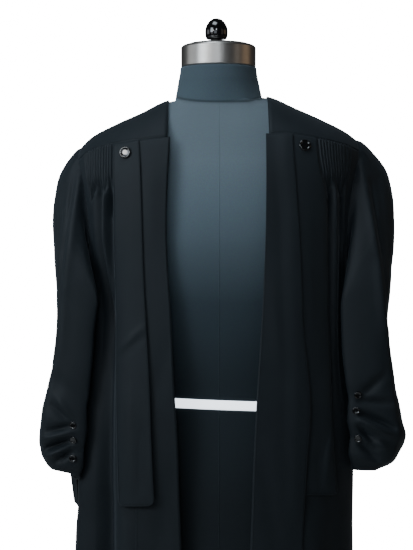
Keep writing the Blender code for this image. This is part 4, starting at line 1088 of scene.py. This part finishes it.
def torso_ring(angle, z):
    """Points of the torso at a height below the shoulders."""
    shape = {name: read(TORSO, name, z) for name in ("half", "front", "back", "roundness")}
    x, y = form_ring(shape, angle)
    return np.stack((x, y, z + 0 * x), axis=-1)


def shoulder_height(x, y):
    """Height of the yoke's outer face over a point, carried on over the neck opening."""
    seam = np.where(y < 0, -read(SHOULDER, "front_y", x), read(SHOULDER, "back_y", x))
    return yoke_point(x, y / seam)[..., 2]


def shoulder_ring(angle, share):
    """Points of the form under the yoke: share 0 at the neck's base, 1 at the shoulders' edge."""
    shape = {name: inner + (SHOULDER_OUTLINE[name] - inner) * share for name, inner in NECK_BASE.items()}
    x, y = form_ring(shape, angle)
    step = 0.001
    slope_x = (shoulder_height(x + step, y) - shoulder_height(x - step, y)) / (2 * step)
    slope_y = (shoulder_height(x, y + step) - shoulder_height(x, y - step)) / (2 * step)
    normal = unit(np.stack((-slope_x, -slope_y, np.ones_like(x)), axis=-1))
    point = np.stack((x, y, shoulder_height(x, y)), axis=-1) - normal * FORM_GAP
    open_front = np.maximum(np.cos(angle), 0) ** 2 * (1 - ease(np.abs(x), 0.040, 0.062))
    point[..., 2] += NECK_FRONT_RISE * (1 - share) ** 3 * open_front
    return point


# %% Torso
TURN = np.linspace(0, 2 * math.pi, 129)
LOW_RINGS = finer(TORSO["z"], 6)
BRIDGE_SHARES = np.linspace(0, 1, 10)[1:-1]
SHOULDER_SHARES = spread((1, 0.1, 24), (0.1, 0, 6))
NECK_LEVELS = np.linspace(1.503, 1.5235, 8)

# The chest is smoothed in front, from so many rings below the bust to so many past the shoulders' edge
CHEST_RINGS = (8, 16)
CHEST_ROUNDS = 70
CHEST_FRONT = (0.1, 0.5)


def torso_lattice():
    """All the form's rings, from its flat underside up over the shoulders to the top of its neck."""
    low = [torso_ring(TURN, z) for z in LOW_RINGS]
    high = [shoulder_ring(TURN, share) for share in SHOULDER_SHARES]
    bridge = [low[-1] + (high[0] - low[-1]) * share for share in BRIDGE_SHARES]
    neck = []
    for z in NECK_LEVELS:
        radius = read(NECK_RISE, "radius", z)
        x = FORM_X + radius * np.sin(TURN)
        neck.append(np.stack((x, -radius * np.cos(TURN), z + 0 * TURN), axis=-1))
    rings = np.array(low + bridge + high + neck)
    rounding = np.zeros((len(rings) - 2, len(TURN), 1))
    first = len(low) - CHEST_RINGS[0]
    last = len(low) + len(bridge) + CHEST_RINGS[1]
    rounding[first:last] = 0.5 * ease(np.cos(TURN), *CHEST_FRONT)[:, None]
    for _ in range(CHEST_ROUNDS):
        rings[1:-1] += rounding * ((rings[:-2] + rings[2:]) / 2 - rings[1:-1])
    return rings


RINGS = torso_lattice()


def torso_place(angle, ring):
    """A point of the form: its ring, counted from below, and its angle from the front."""
    return RINGS[ring.astype(int), np.rint(angle / TURN[1]).astype(int)]


torso = lay_cloth("torso_cover", TURN, np.arange(len(RINGS)), torso_place, weld=True)
torso.modifiers.clear()
closed = bmesh.new()
closed.from_mesh(torso.data)
bmesh.ops.holes_fill(closed, edges=[edge for edge in closed.edges if edge.is_boundary], sides=0)
closed.to_mesh(torso.data)
closed.free()

# %% Seams of the cover
SEAM_RIDGE = 0.0005

# The neck seam dips in front, so it lies on a plane that slopes down forwards
NECK_SEAM_Z = 1.4824
NECK_SEAM_SLOPE = 0.27


def seam_ridge(name, points, cyclic=False):
    """A seam's thin raised line through points."""
    curve = bpy.data.curves.new(name, "CURVE")
    curve.dimensions = "3D"
    curve.bevel_depth = SEAM_RIDGE
    curve.bevel_resolution = 2
    line = curve.splines.new("POLY")
    line.points.add(len(points) - 1)
    line.points.foreach_set("co", np.column_stack((points, np.ones(len(points)))).ravel())
    line.use_cyclic_u = cyclic
    return put_in_scene(name, curve)


def neck_seam_line():
    """The points round the form where that plane cuts its cover."""
    upper = RINGS[len(RINGS) // 2:]
    level = np.maximum.accumulate(upper[..., 2] - NECK_SEAM_SLOPE * upper[..., 1], axis=0)
    return np.array([[np.interp(NECK_SEAM_Z, level[:, k], upper[:, k, axis]) for axis in range(3)]
                     for k in range(len(TURN))])


centre_seam = seam_ridge("form_centre_seam", RINGS[1:-len(NECK_LEVELS) - 3, 0])
neck_line = neck_seam_line()
neck_seam = seam_ridge("form_neck_seam", neck_line, cyclic=True)
print("neck seam from", neck_line[:, 2].min().round(3), "to", neck_line[:, 2].max().round(3))
print("form rings:", len(RINGS))

# %% Waist tape
TAPE_LOW_Z = 0.992
TAPE_Z = 1.0188
TAPE_WIDTH = 0.0139
TAPE_DROP = 0.040
TAPE_THICK = 0.0008


def tape_place(angle, edge):
    """Tape points, moved out from the torso and lower towards the right."""
    x = torso_ring(angle, TAPE_LOW_Z)[:, 0]
    point = torso_ring(angle, TAPE_Z - TAPE_DROP * x + (edge - 0.5) * TAPE_WIDTH)
    return point + unit(point * (1, 1, 0)) * (SEAM_GAP + TAPE_THICK)


tape = lay_cloth("waist_tape_weave", TURN, np.linspace(0, 1, 5), tape_place, weld=True, thick=TAPE_THICK)

# %% [markdown]
# ## Turned pieces
# The neck ring, its knob, the buttons, the pole and the base are all turned or spun shapes. A profile of
# radius and height is spun by the Screw modifier, with enough steps that no facet shows.

# %% Spinning a profile
def turn_piece(name, profile, steps=96, bevel=0.0):
    """A turned piece from (radius, height) points that run from its top down its outer side."""
    spun = bpy.data.meshes.new(name)
    spun.from_pydata([(r, 0, h) for r, h in profile], [(i, i + 1) for i in range(len(profile) - 1)], [])
    made = put_in_scene(name, spun)
    turning = made.modifiers.new("turning", "SCREW")
    turning.steps = steps
    turning.render_steps = steps
    turning.use_merge_vertices = True
    turning.merge_threshold = 0.00001
    turning.use_smooth_shade = True
    if bevel:
        rounding = made.modifiers.new("rounding", "BEVEL")
        rounding.width = bevel
        rounding.segments = 3
        rounding.limit_method = "ANGLE"
        rounding.angle_limit = math.radians(28)
        rounding.harden_normals = True
    return made


# %% Neck ring and knob
SEAT_GAP = 0.0003
RING_RADIUS = 0.057
RING_LOW_Z = 1.5238
RING_TOP_Z = 1.5615
ring = turn_piece("neck_ring_steel", [(RING_RADIUS * share, z) for share, z in [
    (0, RING_TOP_Z), (0.80, 1.5605), (0.96, 1.5575), (1, 1.5545),
    (1, 1.5253), (0.98, RING_LOW_Z), (0, RING_LOW_Z),
]], 128, 0.0008)
ring.location.x = FORM_X

# The knob is half an egg above its widest place, and drawn in to a short neck below
KNOB_RADIUS = 0.0175
KNOB_WIDEST_Z = 1.5785
KNOB_TOP_Z = 1.600
KNOB_LOW_Z = RING_TOP_Z + SEAT_GAP
knob_profile = [(0, KNOB_TOP_Z)]
for turn in np.radians(np.linspace(90, 0, 15))[1:]:
    height = KNOB_WIDEST_Z + (KNOB_TOP_Z - KNOB_WIDEST_Z) * math.sin(turn)
    knob_profile.append((KNOB_RADIUS * math.cos(turn), height))
for share, z in [
    (0.995, 1.5755), (0.97, 1.5725), (0.92, 1.5695), (0.84, 1.5677), (0.70, 1.5670), (0.50, 1.5668),
    (0.45, KNOB_LOW_Z + 0.001), (0.46, KNOB_LOW_Z), (0, KNOB_LOW_Z),
]:
    knob_profile.append((KNOB_RADIUS * share, z))
knob = turn_piece("knob_lacquer", knob_profile, 64)

# %% Pole and base
POLE_RADIUS = 0.016
POLE_TOP_Z = 0.75 - SEAT_GAP
BASE_RADIUS = 0.190
BASE_THICK = 0.020
POLE_LOW_Z = BASE_THICK + SEAT_GAP
pole = turn_piece("pole_tube", [
    (0, POLE_TOP_Z), (POLE_RADIUS, POLE_TOP_Z), (POLE_RADIUS, POLE_LOW_Z), (0, POLE_LOW_Z),
], 64, 0.0006)
base = turn_piece("base_plate", [(BASE_RADIUS * out, BASE_THICK * up) for out, up in [
    (0, 1), (0.20, 1), (0.60, 0.90), (0.90, 0.72), (0.98, 0.50), (1, 0.20), (0.99, 0), (0, 0),
]], 128, 0.0012)

# %% [markdown]
# ## Buttons
# Each button is turned from polyester resin: a raised rim round a dished middle, sewn on by a shank that
# doesn't show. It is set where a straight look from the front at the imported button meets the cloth, and
# faces as the cloth does there. Only the left flap's button hangs a little askew, and catches the light.

# %% A rimmed button
BUTTON_PROFILE = [
    (0, 0.76), (0.40, 0.765), (0.60, 0.79), (0.68, 0.86), (0.73, 0.96), (0.79, 1),
    (0.88, 0.97), (0.95, 0.84), (1, 0.58), (0.98, 0.30), (0.86, 0), (0, 0),
]
BUTTON_LIFT = 0.0004
ASKEW_LIFT = 0.0014
BUTTON_ASKEW = {"flap_button_left": (-0.2375, -0.9644, 0.1170)}


def make_button(node, cloth, radius, thick):
    """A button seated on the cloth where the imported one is."""
    profile = [(radius * out, thick * up) for out, up in BUTTON_PROFILE]
    button = turn_piece(node + "_resin", profile, 48)
    low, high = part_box(node)
    middle = (Vector(low) + Vector(high)) / 2
    found, place, facing, _ = cloth.ray_cast((middle.x, -1, middle.z), (0, 1, 0))
    lift = BUTTON_LIFT
    if facing.y > 0:
        facing = -facing
    if node in BUTTON_ASKEW:
        facing = Vector(BUTTON_ASKEW[node])
        lift = ASKEW_LIFT
    button.location = place + facing * lift
    button.rotation_euler = facing.to_track_quat("Z", "Y").to_euler()
    print(button.name, "on the cloth:", found, "faces", [round(value, 3) for value in facing])
    return button


bpy.context.view_layer.update()
FLAP_BUTTON = (0.00875, 0.0032)
SLEEVE_BUTTON = (0.0056, 0.0024)
buttons = {}
for side, name in SIDE_NAME.items():
    node = "flap_button_" + name
    buttons[node] = make_button(node, flaps[side], *FLAP_BUTTON)
    for number in (1, 2, 3):
        node = f"sleeve_button_{name}_{number}"
        buttons[node] = make_button(node, sleeves[side], *SLEEVE_BUTTON)
print("buttons:", len(buttons))

# %% [markdown]
# ## Topstitching
# Edges are stitched 2 mm in with black thread, about three stitches to the centimetre. Each stitch is a
# small raised bar, and a whole row is one joined mesh, worked out from the same surface as its cloth.

# %% Rows of stitches
STITCH_PITCH = 0.0034
STITCH_LENGTH = 0.0026
STITCH_HALF = 0.00016

# A stitch is a bar through four square rings: how far in from which end, as a share, and how thick
STITCH_RINGS = [("head", 0.0, 0.4), ("head", 0.25, 1), ("tail", -0.25, 1), ("tail", 0.0, 0.4)]
thread_rows = []


def stitch_row(name, points, out):
    """Bars along a line of points, lying on the cloth; out gives the cloth's outward direction."""
    run = np.concatenate(([0], np.cumsum(np.linalg.norm(np.diff(points, axis=0), axis=1))))
    starts = np.arange(0.001, run[-1] - STITCH_LENGTH, STITCH_PITCH)

    def along_line(values, where):
        return np.stack([np.interp(where, run, column) for column in values.T], axis=-1)

    ends = {"head": along_line(points, starts), "tail": along_line(points, starts + STITCH_LENGTH)}
    along = unit(ends["tail"] - ends["head"])
    up = along_line(out, starts)
    up = unit(up - along * np.sum(up * along, axis=1, keepdims=True))
    across = np.cross(along, up)
    corners = []
    for end, shift, thickness in STITCH_RINGS:
        size = STITCH_HALF * thickness
        middle = ends[end] + along * shift * STITCH_LENGTH + up * (size * 0.8)
        for right, rise in ((-1, -1), (1, -1), (1, 1), (-1, 1)):
            corners.append(middle + across * (right * size) + up * (rise * size))
    faces = []
    for first in range(0, 16 * len(starts), 16):
        for a in range(first, first + 12):
            b = a + 1 if a % 4 < 3 else a - 3
            faces.append((a, b, b + 4, a + 4))
        faces.append((first + 3, first + 2, first + 1, first))
        faces.append((first + 12, first + 13, first + 14, first + 15))
    sewn = bpy.data.meshes.new(name)
    sewn.from_pydata(np.stack(corners, axis=1).reshape(-1, 3).tolist(), [], faces)
    sewn.shade_smooth()
    thread_rows.append(put_in_scene(name, sewn))
    return len(starts)


def stitch_along(name, points_at, across, down, top=0):
    """A row of stitches on a surface, along a line of shares."""
    across, down = np.broadcast_arrays(across, down)
    return stitch_row("stitch_" + name, points_at(across, down), outward(points_at, across, down, top))


# %% Stitching on the gown
YOKE_STITCH_START = {LEFT: 0.073, RIGHT: 0.0765}
stitches = 0
for side, name in SIDE_NAME.items():
    band = partial(band_point, side)
    flap = partial(flap_point, side)
    yoke_edge = side * np.linspace(YOKE_STITCH_START[side], ARM_X[side] - 0.002, 120)
    for edge, share in (("inner", 0.045), ("outer", 0.955)):
        stitches += stitch_along(f"band_{edge}_{name}", band, share, np.linspace(0.004, 0.998, 500))
    for edge, share in (("inner", 0.05), ("outer", 0.95)):
        stitches += stitch_along(f"flap_{edge}_{name}", flap, share, np.linspace(0.006, 0.990, 260))
    stitches += stitch_along("flap_end_" + name, flap, np.linspace(0.05, 0.95, 40), 0.994)
    stitches += stitch_along("yoke_" + name, yoke_point, yoke_edge, -0.975, top=-1)
    front = partial(front_point, side)
    stitches += stitch_along("hem_" + name, front, np.linspace(0.02, 2.98, 200), 0.978)
    cuff = sleeve_point(side, np.linspace(0, 2 * math.pi, 240), np.full(240, 0.985))
    stitches += stitch_row("stitch_cuff_" + name, cuff, cuff - cuff.mean(axis=0))
stitches += stitch_along("yoke_back", yoke_point, np.linspace(-0.2045, 0.2105, 260), 0.985)
stitches += stitch_along("hem_back", back_point, np.linspace(-0.995, 0.995, 400), 0.978)
print("stitches:", stitches)

# %% [markdown]
# ## Other materials
# The jersey is a knitted polyester with a melange look: fine upright ribs, and fibres of slightly
# different greys. The tape is bleached cotton. The ring is stainless steel brushed round its axis, the
# knob is lacquered wood, the buttons are polyester resin, and the stand is powder-coated steel.

# %% Jersey
RIB_MM = 1.6
ROW_MM = 1.3

# The cover looks pale at the neck and nearly black low down, where the gown shades it. Part of that is
# painted
# into the colour: painted shade that darkens it downwards and painted light over the chest, with stops
# that follow the neck seam's slope. The two dark ones lie in that seam.
PAINTED_SHADE_LOW_Z = 0.90
PAINTED_SHADE_TOP_Z = 1.53
PAINTED_SHADE = [
    (0.0, "#20272b"), (0.281, "#2b353b"), (0.473, "#3a474f"), (0.710, "#6a7b85"), (0.800, "#76868f"),
    (0.9215, "#6d7b83"), (0.9232, "#2a3439"), (0.9254, "#2a3439"), (0.9271, "#4f5f68"), (1.0, "#505f68"),
]


def jersey_material():
    """Charcoal knit: upright ribs 1.6 mm apart, drawn coarser than real so that they show."""
    knit, tree, shader = new_material("charcoal_jersey", [
        ("Base Color", linear("#3d4b52")), ("Roughness", 0.85), ("IOR", 1.46),
        ("Specular IOR Level", 0.25), ("Sheen Weight", 0.25), ("Sheen Roughness", 0.5),
        ("Sheen Tint", linear("#b9c8d2")),
    ])
    place = add_node(tree, "ShaderNodeUVMap", [("uv_map", "cloth_mm")]).outputs["UV"]
    ribs = add_bands(tree, place, "X", RIB_MM, [("Distortion", 0.3)])
    rows = add_bands(tree, place, "Y", ROW_MM, [("Distortion", 0.5)])
    fibres = add_noise(tree, place, 0.5, 5.0)
    # Painted shade and light: the colour follows the height along the neck seam's slope, darker low down
    # and paler over the chest
    where = add_node(tree, "ShaderNodeTexCoord")
    parts = add_node(tree, "ShaderNodeSeparateXYZ", [], [("Vector", where.outputs["Object"])])
    sloped = add_node(tree, "ShaderNodeMath", [("operation", "MULTIPLY_ADD"), (1, -NECK_SEAM_SLOPE)],
                      [(0, parts.outputs["Y"]), (2, parts.outputs["Z"])])
    level = add_node(tree, "ShaderNodeMapRange", [("From Min", PAINTED_SHADE_LOW_Z), ("From Max", PAINTED_SHADE_TOP_Z)],
                     [("Value", sloped.outputs[0])])
    fade = add_node(tree, "ShaderNodeValToRGB", [], [("Fac", level.outputs["Result"])])
    fade.color_ramp.elements[0].color = linear(PAINTED_SHADE[0][1])
    fade.color_ramp.elements[1].color = linear(PAINTED_SHADE[-1][1])
    for share, colour in PAINTED_SHADE[1:-1]:
        fade.color_ramp.elements.new(share).color = linear(colour)
    colours = add_node(tree, "ShaderNodeMix", [
        ("data_type", "RGBA"), ("blend_type", "MULTIPLY"), (0, 0.35),
    ], [(6, fade.outputs["Color"]), (7, fibres.outputs["Color"])])
    tree.links.new(colours.outputs[2], shader.inputs["Base Color"])
    height = add_node(tree, "ShaderNodeMath", [("operation", "MULTIPLY_ADD"), (1, 0.35)],
                      [(0, rows.outputs["Fac"]), (2, ribs.outputs["Fac"])])
    add_relief(tree, shader, height.outputs[0], 0.20, 0.0004)
    return knit


JERSEY = jersey_material()

# %% Tape and steel
def cotton_tape_material():
    """Bleached cotton tape, a plain weave of 1 mm threads, with a painted glow that keeps it bright in
    the gown's shade.
    """
    weave, tree, shader = new_material("bleached_cotton_tape", [
        ("Base Color", linear("#f4f6f6")), ("Roughness", 0.8), ("IOR", 1.5), ("Sheen Weight", 0.1),
        # Painted light: the emission makes the tape glow a little, though it is no lamp
        ("Emission Color", linear("#eaf4ff")), ("Emission Strength", 2.4),
    ])
    place = add_node(tree, "ShaderNodeUVMap", [("uv_map", "cloth_mm")]).outputs["UV"]
    check = add_node(tree, "ShaderNodeTexChecker", [("Scale", 1.0)], [("Vector", place)])
    add_relief(tree, shader, check.outputs["Fac"], 0.25, 0.0002)
    return weave


def brushed_steel_material():
    """Stainless steel with fine brush marks that run round the ring."""
    steel, tree, shader = new_material("brushed_stainless_steel", [
        ("Base Color", linear("#b9b5b0")), ("Metallic", 1.0), ("Roughness", 0.34),
    ])
    place = add_node(tree, "ShaderNodeTexCoord")
    stretch = add_node(tree, "ShaderNodeMapping", [("Scale", (4.0, 4.0, 900.0))],
                       [("Vector", place.outputs["Object"])])
    marks = add_noise(tree, stretch.outputs["Vector"], 2.0, 4.0)
    rough = add_node(tree, "ShaderNodeMapRange", [
        ("From Min", 0.3), ("From Max", 0.7), ("To Min", 0.28), ("To Max", 0.42),
    ], [("Value", marks.outputs["Fac"])])
    tree.links.new(rough.outputs["Result"], shader.inputs["Roughness"])
    add_relief(tree, shader, marks.outputs["Fac"], 0.06, 0.0002)
    return steel


TAPE = cotton_tape_material()
STEEL = brushed_steel_material()

# %% Lacquer, resin, powder coat and thread
def speckled_material(name, colour, shade, scale, strength, settings):
    """A hard finish with a slight unevenness of colour and surface; scale is in speckles a metre."""
    coat, tree, shader = new_material(name, [("Base Color", linear(colour))] + settings)
    place = add_node(tree, "ShaderNodeTexCoord").outputs["Object"]
    specks = add_noise(tree, place, scale, 3.0)
    speckle(tree, shader, specks, shade, colour)
    add_relief(tree, shader, specks.outputs["Fac"], strength, 0.0002)
    return coat


LACQUER = speckled_material("black_lacquered_wood", "#0b0b0c", "#070708", 60, 0.02, [
    ("Roughness", 0.10), ("IOR", 1.5), ("Coat Weight", 0.8), ("Coat Roughness", 0.04)])
RESIN = speckled_material("black_polyester_resin", "#0d0e10", "#08090a", 500, 0.03, [
    ("Roughness", 0.10), ("IOR", 1.56), ("Coat Weight", 0.6), ("Coat Roughness", 0.05)])
POWDER = speckled_material("black_powder_coat", "#17181a", "#111214", 1400, 0.20, [
    ("Roughness", 0.42), ("IOR", 1.5)])
THREAD = speckled_material("black_polyester_thread", "#15191c", "#0e1113", 3000, 0.10, [
    ("Roughness", 0.70), ("IOR", 1.46), ("Specular IOR Level", 0.2)])
print("materials:", [made.name for made in bpy.data.materials])

# %% [markdown]
# ## Dressing the pieces
# Every piece rides on the one body, takes its finish, and hides the solids that it stands for.

# %% Dress
def dress(piece, finish, slot, *nodes):
    """Gives a piece its finish, its body and the solids that it replaces."""
    piece.data.materials.clear()
    piece.data.materials.append(finish)
    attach(piece, "root")
    if nodes:
        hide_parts(*nodes)


dress(yoke, SUITING, "suiting", "yoke")
dress(back, SUITING, "suiting", "back")
for side, name in SIDE_NAME.items():
    dress(fronts[side], SUITING, "suiting", "front_" + name)
    dress(bands[side], SUITING, "suiting", "front_band_" + name)
    dress(flaps[side], SUITING, "suiting", "flap_" + name)
    dress(sleeves[side], SUITING, "suiting", "sleeve_" + name)
dress(torso, JERSEY, "jersey", "form_torso")
dress(centre_seam, JERSEY, "jersey")
dress(neck_seam, JERSEY, "jersey")
dress(tape, TAPE, "tape", "waist_tape")
dress(ring, STEEL, "ring", "neck_ring")
dress(knob, LACQUER, "knob", "knob")
dress(pole, POWDER, "stand", "pole")
dress(base, POWDER, "stand", "base")
for node, button in buttons.items():
    dress(button, RESIN, "button", node)
for row in thread_rows:
    dress(row, THREAD, "suiting")

# %% [markdown]
# ## Studio
# The photo has a pure white ground, so the world shows white to the camera. A large soft box from the
# upper left is the key, with a weaker fill in front, so light is strong at the shoulders and falls off
# towards the hem. A narrow spot lights the form's chest and neck. A small box, gleam, stands where the
# left flap button mirrors it, and tall ones give the steel ring its upright bright bands.

# %% Floor
floor_mesh = bmesh.new()
bmesh.ops.create_circle(floor_mesh, cap_ends=True, radius=3.0, segments=96)
floor_data = bpy.data.meshes.new("floor")
floor_mesh.to_mesh(floor_data)
floor_mesh.free()
floor = put_in_scene("floor", floor_data)
paint = new_material("pale_floor_paint", [("Base Color", linear("#e8e8e6")), ("Roughness", 0.6)])[0]
floor.data.materials.append(paint)

# %% World
world = bpy.data.worlds.new("studio")
bpy.context.scene.world = world
world.use_nodes = True
sky = world.node_tree
sky.nodes.clear()
seen = add_node(sky, "ShaderNodeBackground", [("Color", (1, 1, 1, 1)), ("Strength", 20.0)])
soft = add_node(sky, "ShaderNodeBackground", [("Color", (0.93, 0.97, 1, 1)), ("Strength", 0.035)])
path = add_node(sky, "ShaderNodeLightPath")
either = add_node(sky, "ShaderNodeMixShader", [], [
    (0, path.outputs["Is Camera Ray"]), (1, soft.outputs["Background"]), (2, seen.outputs["Background"]),
])
add_node(sky, "ShaderNodeOutputWorld", [], [("Surface", either.outputs["Shader"])])

# %% Lights
# A spot's size is its cone in degrees and how softly the cone ends
SPOT_RADIUS = 0.35
LIGHTS = named("name kind place aim size power colour", [
    ("front_fill", "AREA", (-0.70, -3.2, 1.70), (0, 0, 1.25), (1.6, 1.0), 8.0, "#eaf4ff"),
    ("key_left", "AREA", (-2.05, -1.7, 2.3), (-0.12, -0.10, 1.36), (1.2, 1.2), 31, "#e8f4ff"),
    ("top", "AREA", (-0.40, -0.60, 3.0), (0, -0.08, 1.40), (1.0, 0.7), 13, "#e8f4ff"),
    ("chest", "SPOT", (-0.05, -2.2, 2.05), (0.0, -0.10, 1.375), (9.4, 1.0), 138, "#ecf5ff"),
    ("gleam", "AREA", (-1.37, -2.18, 2.12), (-0.135, -0.13, 1.39), (0.28, 0.28), 4.0, "#ffffff"),
    ("tall_left", "AREA", (-1.7, -1.6, 1.75), (0, 0, 1.50), (0.35, 1.2), 2.0, "#ffffff"),
    ("tall_right", "AREA", (1.9, -1.2, 1.75), (0, 0, 1.50), (0.35, 1.2), 0.7, "#fff0e0"),
    ("wall_left", "AREA", (-3.2, 0.1, 1.9), (0, 0, 1.60), (1.6, 1.0), 6.0, "#f4faff"),
    ("wall_right", "AREA", (3.2, 0.1, 1.9), (0, 0, 1.60), (1.6, 1.0), 2.4, "#ffd9b0"),
    ("back_fill", "AREA", (0.3, 3.4, 1.30), (0, 0, 1.05), (1.6, 1.2), 45, "#eef6ff"),
])
for light in LIGHTS:
    lamp = bpy.data.lights.new(light["name"], light["kind"])
    lamp.energy = light["power"]
    lamp.color = linear(light["colour"])[:3]
    if light["kind"] == "SPOT":
        lamp.spot_size = math.radians(light["size"][0])
        lamp.spot_blend = light["size"][1]
        lamp.shadow_soft_size = SPOT_RADIUS
    else:
        lamp.shape = "RECTANGLE"
        lamp.size, lamp.size_y = light["size"]
    holder = put_in_scene(light["name"], lamp)
    holder.location = light["place"]
    aim = Vector(light["aim"]) - Vector(light["place"])
    holder.rotation_euler = aim.to_track_quat("-Z", "Y").to_euler()
print("lights:", len(LIGHTS))
